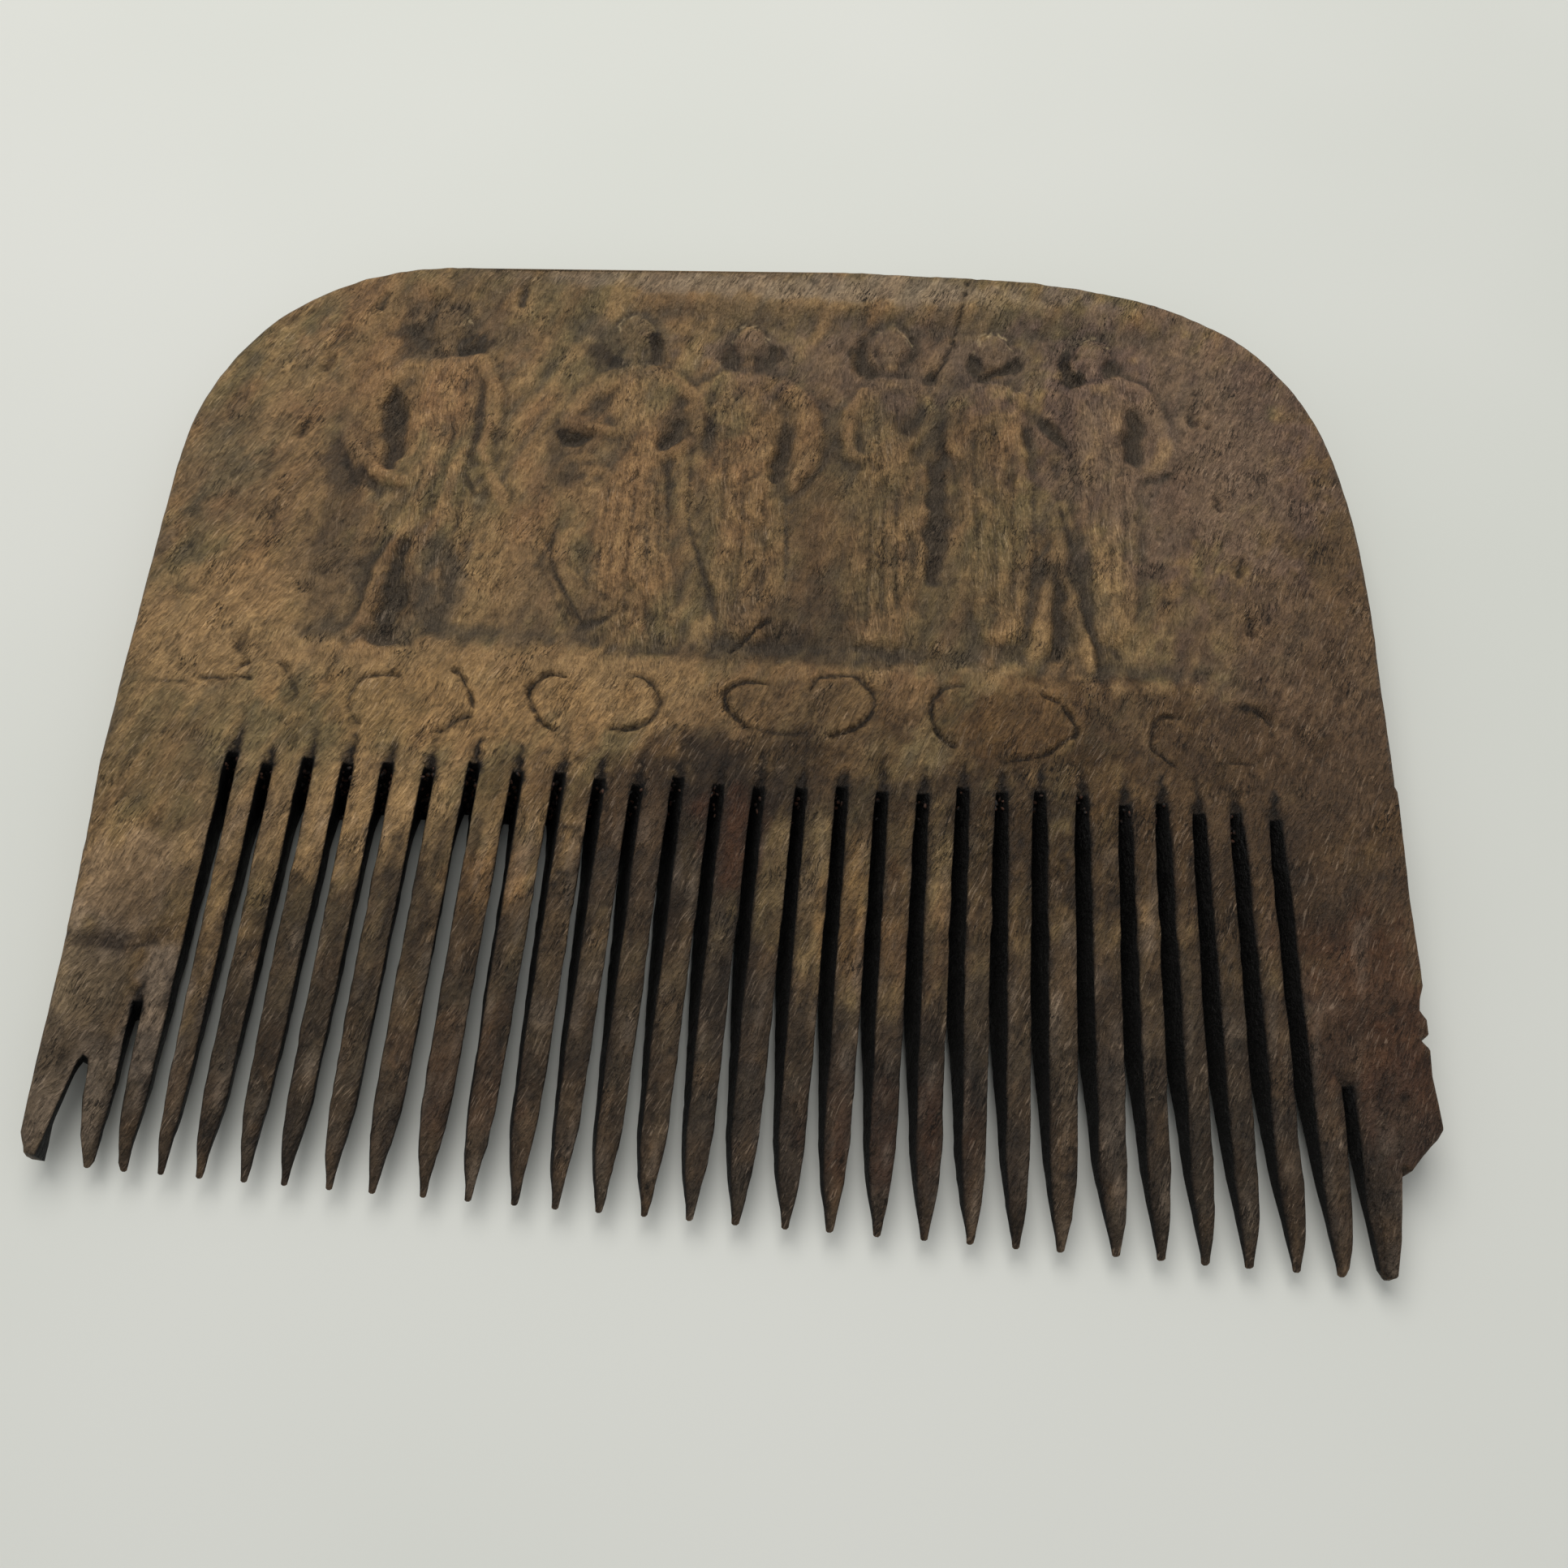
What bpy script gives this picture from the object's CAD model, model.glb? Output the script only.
import math

import bpy
import numpy as np
from mathutils import Matrix, Vector, geometry, kdtree


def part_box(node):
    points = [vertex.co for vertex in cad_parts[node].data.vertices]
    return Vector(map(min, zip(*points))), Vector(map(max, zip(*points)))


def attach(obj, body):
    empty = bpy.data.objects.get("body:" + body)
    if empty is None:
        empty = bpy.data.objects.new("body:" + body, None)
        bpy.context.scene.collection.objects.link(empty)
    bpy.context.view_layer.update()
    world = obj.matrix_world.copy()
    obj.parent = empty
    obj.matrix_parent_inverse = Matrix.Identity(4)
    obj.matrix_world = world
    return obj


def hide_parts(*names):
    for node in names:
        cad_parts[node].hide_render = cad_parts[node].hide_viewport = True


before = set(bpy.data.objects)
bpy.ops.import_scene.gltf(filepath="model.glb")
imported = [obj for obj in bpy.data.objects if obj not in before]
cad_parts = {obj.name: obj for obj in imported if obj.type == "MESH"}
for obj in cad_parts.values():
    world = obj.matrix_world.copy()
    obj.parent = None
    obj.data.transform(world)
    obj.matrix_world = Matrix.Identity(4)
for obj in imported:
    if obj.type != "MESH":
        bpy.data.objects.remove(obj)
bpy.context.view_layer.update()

MM = 0.001

# Sizes of the comb, in millimetres, as the CAD part has them

LOW, HIGH = (np.array(corner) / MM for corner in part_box("comb"))
HALF_W = (HIGH[0] - LOW[0]) / 2
HALF_H = (HIGH[1] - LOW[1]) / 2
PLATE_T = HIGH[2]

# How far the rounded edge reaches in and down
ARRIS_IN, ARRIS_DOWN = 0.5, 0.9

# A tooth's tip, and how far the face falls from the teeth's roots to the tips
TIP_W, TIP_T = 0.42, 1.1
ROOT_Y, FACE_FALL = -9.6, 3.4

# Beyond this x either way are the guards, whose face falls by a share of that
GUARD_X, GUARD_SHARE = 43.2, 0.7

# How much the teeth are filed from behind, and thinned from the front over their last THIN_L
FILED = 0.75
THIN_TIP, THIN_L = 0.55, 2.6

# Saw cuts: width, how much wider on the right, and slant in degrees left and right of the cuts between
# which it changes
CUT_W, WIDER = 1.0, 0.09
LEFT_SLANT, RIGHT_SLANT = 14.0, 19.0
SLANT_START, SLANT_END = 7, 10

# A cut under this length is one of the two short ones
SHORT_RUN = 15.0

# The shallow groove where the saw ran out above a cut: length, length above a short cut, depth
RUN_OUT, SHORT_RUN_OUT, RUN_DEEP = 2.6, 1.6, 0.5

# Over END_REACH from its blind end a cut slopes and closes in toward the underside, down to a gap
END_SLOPE, END_REACH, END_GAP = 1.9, 5.0, 0.15

# Tips of the teeth and blind ends of the cuts: the first, the pitch or the last, and how far each strays
TIP_FIRST, TIP_PITCH = -42.69, 2.955
FIRST_TIP_Y, LAST_TIP_Y = -38.0, -41.2
TIP_STRAY = [1.3, 0.8, 0.3, -0.1, -0.1, -0.4, -0.4, -0.5, -0.1, -0.1, 0, -0.3, -0.4, -0.4, -0.4,
             -0.4, -0.1, -0.2, -0.1, 0, 0, 0, -0.1, 0.5, 0.4, 0.3, 0.1, 0.2, 0.1, 0]
FIRST_END_Y, LAST_END_Y = -8.7, -9.8
END_STRAY = [0.3, -0.5, 0.2, -0.1, 0.1, -0.1, 0.5, -0.1, 0, -0.3, -0.6, 0.2, -0.2, -0.2, -0.1,
             0.2, -0.1, -0.1, 0.6, 0.4, 0.6, 0.5, -0.1, 0.2, -0.4, -0.2, -0.6]
TEETH, SLOTS = len(TIP_STRAY), len(END_STRAY)

# How the teeth lean: their first lean, how far they bow toward the middle, and how much less for each tooth
LEAN, LEAN_BOW, LEAN_FALL = 0.34, 1.76, 0.044

# The short cuts' blind ends
LEFT_SHORT_END = (-40.0, -26.8)
RIGHT_SHORT_END = (41.4, -28.9)

# The notch beside the left prong, the two guards as x, y, and the two rounded corners of the back
PRONG_NOTCH = [
    (-44.4, -37.6), (-43.9, -35.8), (-43.5, -33.6), (-43.1, -31.6), (-42.9, -30.9), (-42.6, -30.8),
    (-42.4, -31.2), (-42.3, -33.4), (-42, -36)]
LEFT_GUARD = [
    (-46.6, -8), (-46.2, -16), (-45.9, -24.5), (-45.9, -30), (-45.8, -36.2), (-45.2, -37.6)]
RIGHT_GUARD = [
    (44.2, -34.3), (44.7, -34.7), (45.3, -34), (45.8, -33.4), (46.6, -32.6), (47.1, -31.9), (47, -30.2),
    (46.8, -28.4), (46.9, -26.6), (46.5, -26.2), (46.3, -25.9), (46.9, -25.7), (46.9, -24.6), (46.5, -24),
    (46.6, -23.2), (46.9, -22.3), (46.8, -17), (46.8, -12), (46.9, -8)]
LEFT_CORNER = dict(x=-25.6, y=16.7, half_x=HALF_W - 25.6, half_y=23.4, power=2.27)
RIGHT_CORNER = dict(x=5.5, y=2.0, half_x=HALF_W - 5.5, half_y=HALF_H - 2.0, power=3.6)


# Small helpers on numbers

# Noise repeats after this many lumps
CELLS = 128


def mix(a, b, t):
    return a + (b - a) * t


def smooth(a, b, v):
    t = np.clip((v - a) / (b - a), 0.0, 1.0)
    return t * t * (3.0 - 2.0 * t)


def lumps(x, y, size, seed):
    """Even noise from -1 to 1 whose lumps are about size millimetres across."""
    table = np.random.default_rng(seed).uniform(-1.0, 1.0, (CELLS, CELLS))
    u, v = np.asarray(x) / size, np.asarray(y) / size
    i, j = np.floor(u).astype(int), np.floor(v).astype(int)
    s, t = smooth(0, 1, u - i), smooth(0, 1, v - j)
    i, j, right, above = i % CELLS, j % CELLS, (i + 1) % CELLS, (j + 1) % CELLS
    return mix(mix(table[i, j], table[right, j], s), mix(table[i, above], table[right, above], s), t)


def grain(x, y, length, width, turn, seed):
    """Noise drawn out along one direction, as fibres are; turn is its angle from +X."""
    a = math.radians(turn)
    u = x * math.cos(a) + y * math.sin(a)
    v = -x * math.sin(a) + y * math.cos(a)
    return lumps(u * width / length, v, width, seed)


def curve(rows, steps=5):
    """The rows of a hand-drawn path with rounded steps between them."""
    p = np.array(rows, float)
    if len(p) < 3:
        return p
    ends = np.vstack([2 * p[0] - p[1], p, 2 * p[-1] - p[-2]])
    out = []
    for a, b, c, d in zip(ends, ends[1:], ends[2:], ends[3:]):
        for t in np.arange(steps) / steps:
            out.append(0.5 * (2 * b + (c - a) * t + (2 * a - 5 * b + 4 * c - d) * t * t
                              + (3 * b - a - 3 * c + d) * t ** 3))
    return np.array(out + [p[-1]])


# Where the teeth and the saw cuts are

def tip_x(j):
    return TIP_FIRST + TIP_PITCH * j + TIP_STRAY[j]


def tip_y(j):
    return max(-HALF_H, mix(FIRST_TIP_Y, LAST_TIP_Y, j / (TEETH - 1)))


def lean(i):
    """How far the blind end of deep cut i lies to the right of its foot."""
    return LEAN + LEAN_BOW * math.sin(math.pi * (i + 3) / (SLOTS + 2)) - LEAN_FALL * i


def cut(g):
    """Blind end and foot of the saw cut between teeth g and g + 1, on the comb's face."""
    foot = ((tip_x(g) + tip_x(g + 1)) / 2, (tip_y(g) + tip_y(g + 1)) / 2)
    if g == 0:
        return LEFT_SHORT_END, foot
    if g == TEETH - 2:
        return RIGHT_SHORT_END, foot
    i = g - 1
    end_y = mix(FIRST_END_Y, LAST_END_Y, i / (SLOTS - 1)) + END_STRAY[i]
    return (foot[0] + lean(i), end_y), foot


def slant(g):
    """Sideways run of a saw cut for each millimetre that it goes down."""
    return math.tan(math.radians(np.interp(g, [SLANT_START, SLANT_END], [LEFT_SLANT, RIGHT_SLANT])))


# Half the gap between two teeth at these heights over their tips, on the comb's left and right:
# the right tooth's edge is +1, the left tooth's is -1
TAPER_UP = [0.0, 0.7, 1.8, 3.4, 5.5, 14.0]
TAPER_LEFT = {1: [1.26, 1.20, 1.02, 0.81, 0.64, 0.50], -1: [1.26, 1.18, 0.98, 0.74, 0.56, 0.50]}
TAPER_RIGHT = {1: [1.26, 1.18, 1.02, 0.79, 0.58, 0.50], -1: [1.26, 1.16, 0.96, 0.72, 0.56, 0.50]}

# The rounded blind end: half widths at these distances from it, and how narrow a short cut stays
BLADE_AT, BLADE_HALF = [0.0, 0.15, 0.4, 1.3], [0.2, 0.34, 0.42, CUT_W / 2 - 0.04]
SHORT_HALF, SHORT_LESS = 0.36, 0.18


def cut_half_width(g, side, along, run):
    """Half width of a saw cut at a distance from its blind end."""
    gap = (tip_x(g + 1) - tip_x(g) - TIP_W) / 2
    to_right = np.interp(g, [9, 20], [0, 1])
    taper = mix(np.array(TAPER_LEFT[side]), np.array(TAPER_RIGHT[side]), to_right)
    wedge = np.interp(run - along, TAPER_UP, taper)
    wedge = CUT_W / 2 + (wedge - CUT_W / 2) * (gap - CUT_W / 2) / (TAPER_LEFT[side][0] - CUT_W / 2)
    blade = np.interp(along, BLADE_AT, BLADE_HALF)
    low = along > run / 3
    if run < SHORT_RUN:
        return np.where(low, np.maximum(wedge - SHORT_LESS, SHORT_HALF), np.minimum(blade, SHORT_HALF))
    return np.where(low, np.maximum(wedge, CUT_W / 2), blade)


def fall(x, y):
    """0 over the plate, rising to 1 at the lowest tips; less in the two guards."""
    share = mix(1.0, GUARD_SHARE, smooth(GUARD_X - 1.8, GUARD_X + 1.8, np.abs(x)))
    return share * np.clip((ROOT_Y - y) / (ROOT_Y + HALF_H), 0.0, 1.1)


def face_top(x, y):
    """Height of the bare face: flat over the plate, falling over the teeth, thinned at their tips."""
    tips = np.interp(x, [TIP_FIRST, -TIP_FIRST], [FIRST_TIP_Y, LAST_TIP_Y])
    thin = THIN_TIP * smooth(THIN_L, 0.0, y - tips) * smooth(GUARD_X + 1.5, GUARD_X + 0.5, np.abs(x))
    return PLATE_T - FACE_FALL * fall(x, y) - thin


def face_under(x, y):
    """Height of the underside: it rises toward the tips, and the teeth are filed below their middle."""
    filed = FILED * smooth(-15, -33, y) * smooth(-42.5, -37.5, y)
    filed = filed * smooth(GUARD_X + 2.5, GUARD_X + 0.5, np.abs(x))
    return (PLATE_T - FACE_FALL - TIP_T) * fall(x, y) + filed


# The comb's outline with its saw cuts, anticlockwise. Each row: x, y, how far the arris rounds in,
# how far the wall slants with the saw for each millimetre down, how far it is a blind end (0 to 1),
# and how far it closes in on the cut by the level of the underside

ARRIS, SAWN, BLIND, PINCH = 2, 3, 4, 5
EDGE_STEP, CUT_STEP, BROKEN_STEP = 0.5, 0.5, 0.25
SAWN_ARRIS, BROKEN_ARRIS, TIP_ARRIS = 0.13, 0.2, 0.08
NOTCH_SLANT = 0.4
NEAREST = 0.04


def quarter(corner, start, stop, steps=64):
    """One rounded corner of the back, between two directions in degrees."""
    t = np.radians(np.linspace(start, stop, steps))
    c, s = np.cos(t), np.sin(t)
    power = 2 / corner["power"]
    return np.column_stack([corner["x"] + corner["half_x"] * np.sign(c) * np.abs(c) ** power,
                            corner["y"] + corner["half_y"] * np.sign(s) * np.abs(s) ** power])


def evenly(points, step):
    """The same line, with points about one step apart."""
    points = np.array(points, float)
    reach = np.concatenate([[0], np.cumsum(np.linalg.norm(np.diff(points, axis=0), axis=1))])
    count = max(2, int(round(reach[-1] / step)) + 1)
    at = np.linspace(0, reach[-1], count)
    return np.column_stack([np.interp(at, reach, points[:, k]) for k in range(2)])


def rows(points, arris, sawn):
    """Outline rows without a blind end, for a line of points."""
    points = np.array(points, float)
    each = np.ones(len(points))
    return np.column_stack([points, each * arris, each * sawn, each * 0, each * 0])


def sawn_side(g, side):
    """One wall of a saw cut from its blind end to the tip; side -1 is its left wall."""
    end, foot = (np.array(p) for p in cut(g))
    run = np.linalg.norm(foot - end)
    ahead = (foot - end) / run
    across = np.array([-ahead[1], ahead[0]])
    along = np.concatenate([[0.0, 0.15], np.linspace(0.4, run, int(run / CUT_STEP))])
    fade = smooth(0.0, 2.0, along) * smooth(0.0, 1.5, run - along)
    ragged = 0.022 * lumps(along, g * 3.7 + side, 0.7, 11) + 0.03 * lumps(along, g * 5.1 + side, 3.2, 12)
    wide = WIDER * smooth(14, 22, g) * smooth(0.5, 4.0, along) * smooth(1.0, 5.0, run - along)
    half = cut_half_width(g, side, along, run) + wide + ragged * fade
    line = end + along[:, None] * ahead + (side * half)[:, None] * across
    near_end = np.clip(1 - along / END_REACH, 0, 1)
    out = rows(line, SAWN_ARRIS, slant(g))
    out[:, BLIND] = near_end ** 2
    out[:, PINCH] = np.clip(half - END_GAP, 0, 1) * near_end
    return out


def outline():
    """The closed outline: left side, notch, teeth and cuts, broken guard, right side and back."""
    parts = []
    left = np.vstack([quarter(LEFT_CORNER, 90, 180), LEFT_GUARD])
    parts.append(rows(evenly(left, EDGE_STEP), ARRIS_IN, 0.0))
    notch = evenly(PRONG_NOTCH, EDGE_STEP)
    parts.append(rows(notch, SAWN_ARRIS, NOTCH_SLANT * smooth(-38.5, -34.5, notch[:, 1])))
    for j in range(TEETH):
        x, y = tip_x(j), tip_y(j)
        last = TIP_W if j == TEETH - 1 else TIP_W / 2
        tip = [(x - TIP_W / 2, y + 0.1), (x - TIP_W / 5, y), (x + last - 0.12, y), (x + last, y + 0.1)]
        parts.append(rows(tip, TIP_ARRIS, slant(j) if j < TEETH - 1 else slant(j) / 2))
        if j < TEETH - 1:
            parts.append(sawn_side(j, -1)[::-1][1:])
            parts.append(sawn_side(j, 1)[:-1])
    broken = rows(evenly([(43.7, -39.0)] + RIGHT_GUARD, BROKEN_STEP), BROKEN_ARRIS, 0.0)
    right = np.vstack([RIGHT_GUARD[-1:], quarter(RIGHT_CORNER, 0, 90)[1:]])
    parts += [broken, rows(evenly(right, EDGE_STEP), ARRIS_IN, 0.0)[1:-1]]
    loop = np.vstack(parts)
    apart = np.linalg.norm(loop[:, :2] - np.roll(loop[:, :2], 1, axis=0), axis=1)
    return loop[apart > NEAREST]


def outward(loop):
    """Directions that point out of the outline, one for each of its points."""
    step = np.roll(loop[:, :2], -1, axis=0) - np.roll(loop[:, :2], 1, axis=0)
    n = np.column_stack([step[:, 1], -step[:, 0]])
    return n / np.linalg.norm(n, axis=1)[:, None]


# The carved face, worked out as a field of heights on a fine grid over the comb

GRID = 0.125
GRID_X = np.arange(-HALF_W - 1, HALF_W + 1, GRID)
GRID_Y = np.arange(-HALF_H - 1, HALF_H + 1, GRID)


def field_at(field, x, y):
    """A field's value at any spots."""
    u = np.clip((x - GRID_X[0]) / GRID, 0, len(GRID_X) - 1.001)
    v = np.clip((y - GRID_Y[0]) / GRID, 0, len(GRID_Y) - 1.001)
    i, j = u.astype(int), v.astype(int)
    s, t = u - i, v - j
    return mix(mix(field[i, j], field[i + 1, j], s), mix(field[i, j + 1], field[i + 1, j + 1], s), t)


def soften(field, width):
    """The field blurred over about width millimetres."""
    reach = max(1, int(round(width / GRID)))
    weights = np.exp(-0.5 * (np.arange(-2 * reach, 2 * reach + 1) / reach) ** 2)
    weights /= weights.sum()
    for axis in (0, 1):
        pad = [(2 * reach, 2 * reach) if a == axis else (0, 0) for a in (0, 1)]
        wide = np.pad(field, pad, mode="edge")
        length = field.shape[axis]
        field = sum(w * np.take(wide, np.arange(k, k + length), axis=axis) for k, w in enumerate(weights))
    return field


# How wide the seams between raised forms are worn, and how much wider rolls are worn
WORN_SEAM, WORN_SPREAD = 0.16, 1.35


class Face:
    """The face while it is being cut: heights relative to the bare face, in millimetres."""

    def __init__(self):
        self.x, self.y = np.meshgrid(GRID_X, GRID_Y, indexing="ij")
        self.z = np.zeros(self.x.shape)
        self.ground = self.z
        self.engraved = np.zeros(self.x.shape)
        self.hair = np.zeros(self.x.shape)
        self.scored = np.zeros(self.x.shape)

    def near(self, path, reach=0.5):
        """The patch of the grid round a path."""
        width = path[:, 2].max() / 2 + reach
        low = (path[:, :2].min(axis=0) - width - (GRID_X[0], GRID_Y[0])) / GRID
        high = (path[:, :2].max(axis=0) + width - (GRID_X[0], GRID_Y[0])) / GRID
        low, high = np.maximum(low.astype(int), 0), np.maximum(high.astype(int) + 2, 1)
        return slice(low[0], high[0]), slice(low[1], high[1])

    def across(self, path, s):
        """Distance from a path over its half width there: 0 on it and 1 at its edge."""
        x, y = self.x[s], self.y[s]
        best = np.full(x.shape, 9.0)
        for (xa, ya, wa), (xb, yb, wb) in zip(path, path[1:]):
            dx, dy = xb - xa, yb - ya
            t = np.clip(((x - xa) * dx + (y - ya) * dy) / max(dx * dx + dy * dy, 1e-9), 0.0, 1.0)
            best = np.minimum(best, np.hypot(x - xa - t * dx, y - ya - t * dy) * 2 / mix(wa, wb, t))
        return best

    def join(self, s, top):
        """Joins a raised form to what stands there already, with a worn, rounded seam."""
        gap = np.clip(np.abs(top - self.z[s]) / WORN_SEAM, 0, 1)
        self.z[s] = np.maximum(self.z[s], top) + WORN_SEAM / 4 * (1 - gap) ** 2

    def roll(self, rows, height):
        """A rounded roll standing out of the ground: an arm, a fold or a hem."""
        path = curve(rows)
        path[:, 2] *= WORN_SPREAD
        s = self.near(path)
        u = self.across(path, s)
        self.join(s, self.ground[s] - WORN_SEAM + (height + WORN_SEAM) * np.clip(1 - u * u, 0, 1))

    def cut(self, rows, depth, sharp=1.0):
        """A groove or hollow along a path; a low sharp gives it a flat floor and steep sides."""
        path = curve(rows)
        s = self.near(path)
        x, y = self.x[s], self.y[s]
        u = self.across(path, s) + 0.3 * lumps(x, y, 0.7, 25) + 0.15 * lumps(x, y, 1.7, 26)
        self.z[s] -= depth * np.clip(1 - u * np.abs(u), 0, 1.2) ** sharp

    def mark(self, field, path, outer, inner):
        """Raises a field to 1 along a path, fading between two shares of the path's half width."""
        path = np.array(path)
        s = self.near(path)
        field[s] = np.maximum(field[s], smooth(outer, inner, self.across(path, s)))

    def robe(self, rows, height, folds, seed):
        """A clothed body lofted through rows of y, left and right, with folds running down it."""
        rows = curve(rows, 4)
        rows = rows[np.argsort(rows[:, 0])]
        reach = slice(*np.searchsorted(GRID_Y, [rows[0, 0], rows[-1, 0]]))
        x, y = self.x[:, reach], self.y[:, reach]
        left = np.interp(y, rows[:, 0], rows[:, 1])
        right = np.interp(y, rows[:, 0], rows[:, 2])
        u = (2 * x - left - right) / (right - left) / 1.12
        dome = np.clip(1 - np.abs(u) ** 2.6, 0, 1) ** 0.9
        ends = smooth(rows[0, 0] - 0.2, rows[0, 0] + 1.0, y) * smooth(rows[-1, 0], rows[-1, 0] - 1.2, y)
        drift = 0.35 * lumps(x * 0 + seed, y, 5.0, seed) + 0.25 * lumps(x, y, 3.0, seed + 9)
        down = smooth(rows[-1, 0] - 5, rows[-1, 0] - 12, y)
        worn = 1 + 0.7 * lumps(x, y, 2.4, seed + 18)
        pleats = np.sin((u + drift) * folds * math.pi) * (0.04 + 0.08 * down) * worn
        top = self.ground[:, reach] - WORN_SEAM + ((height + WORN_SEAM) * dome + pleats * dome) * ends
        self.join((slice(None), reach), top)


# Sunk panel: how deep, and the line of the ledge under it as x, y
PANEL_D = 0.72
LEDGE = [
    (-33, 0.9), (-29.5, 0.7), (-19.7, 0.7), (-6.3, 0.35), (4.6, 0.35), (16.7, 0.3), (27, -0.4),
    (33, -0.2)]

# Clothed bodies, from the left. Each row of a body: y, left x, right x
BODIES = [
    dict(folds=3.5, rows=[(2.2, -29.9, -24.6), (4.5, -30, -24.4), (8, -29.7, -23.6), (11.5, -29.4, -23),
                          (15.5, -29, -22.7), (19.5, -28.6, -22.9), (22.5, -28.9, -23.2),
                          (26, -29.6, -23.6), (29.2, -30.3, -24.2), (30.6, -28.9, -25.8)]),
    dict(folds=4.5, rows=[(1.6, -11.6, -5.4), (3, -12.8, -4.8), (7, -12.9, -5.6), (11, -13, -6.6),
                          (15, -12.9, -7.4), (18.5, -12.4, -8), (20.6, -11.7, -8.4), (22.5, -12.3, -8.1),
                          (25.4, -12.9, -7.4), (28.6, -13.4, -7.2), (30.6, -12.6, -9.2)]),
    dict(folds=3.5, rows=[(2.6, -3.4, 1.8), (6, -3.9, 2.2), (10, -4.2, 2.1), (15, -4.4, 1.9),
                          (19, -4.6, 1.6), (22, -5, 1.2), (25.5, -5.6, 1), (28.3, -5.2, 1.2),
                          (30.2, -3.2, -0.5)]),
    dict(folds=4, rows=[(2.5, 6.9, 12.6), (7, 6.7, 12.7), (12, 6.6, 12.7), (17.5, 6.8, 12.6),
                          (21, 7.4, 12.4), (25, 7.2, 12.8), (28.3, 7.8, 13.4), (30.2, 9, 11.6)]),
    dict(folds=3.5, rows=[(3.4, 17.2, 20.4), (6, 16.9, 20.9), (9, 16, 21.4), (12, 15.4, 21.6),
                          (17, 15.6, 21.8), (21, 15.3, 21.6), (25, 15, 21.6), (28.2, 15.2, 21.3),
                          (30, 17.4, 19.8)]),
    dict(folds=2.5, rows=[(3.2, 26.4, 28.4), (5.5, 26, 29), (8, 25.8, 29.2), (12, 25.6, 29.6),
                          (17, 25.2, 30), (21.6, 25.4, 30.2), (25.4, 24.8, 30), (28.6, 25, 30.8),
                          (30.2, 25.8, 28.4)])]

# How far bodies, heads and necks stand out of the panel, the rolls' share of their height that is left,
# and the share of all relief that is worn away
ROBE_H = 0.60
HEAD_H, NECK_H = 0.58, 0.36
ROLL_SHARE = 0.9
WORN_AWAY = 0.22

# The lower ground round each body: how much wider than the body, and how deep
MOAT_W, MOAT_D = 2.6, 0.10

# The second figure's girdle: x, y, width, and its depth
GIRDLE = [(-12.2, 20.9, 0.5), (-10, 20.5, 0.5), (-8, 20.9, 0.5)]
GIRDLE_D = 0.14

# A low lens inside the last ring: x, y, width, and its height
LENS = [(26.4, 0, 1.6), (28.6, 0.1, 2.2), (31, 0, 1.4)]
LENS_H = 0.12

# Heads, from the left: centre x, y, width; all have the same worn, even face, whose eyes sit this share
# of the half width from its middle
EYE_OUT = 0.38
HEADS = [
    (-27.4, 33.4, 3.4), (-11.6, 33.3, 3.3), (-1.8, 32.7, 3.2), (10.2, 33.2, 3.4), (18.8, 32.7, 3.3),
    (27.1, 32.7, 3.2)]

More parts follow.
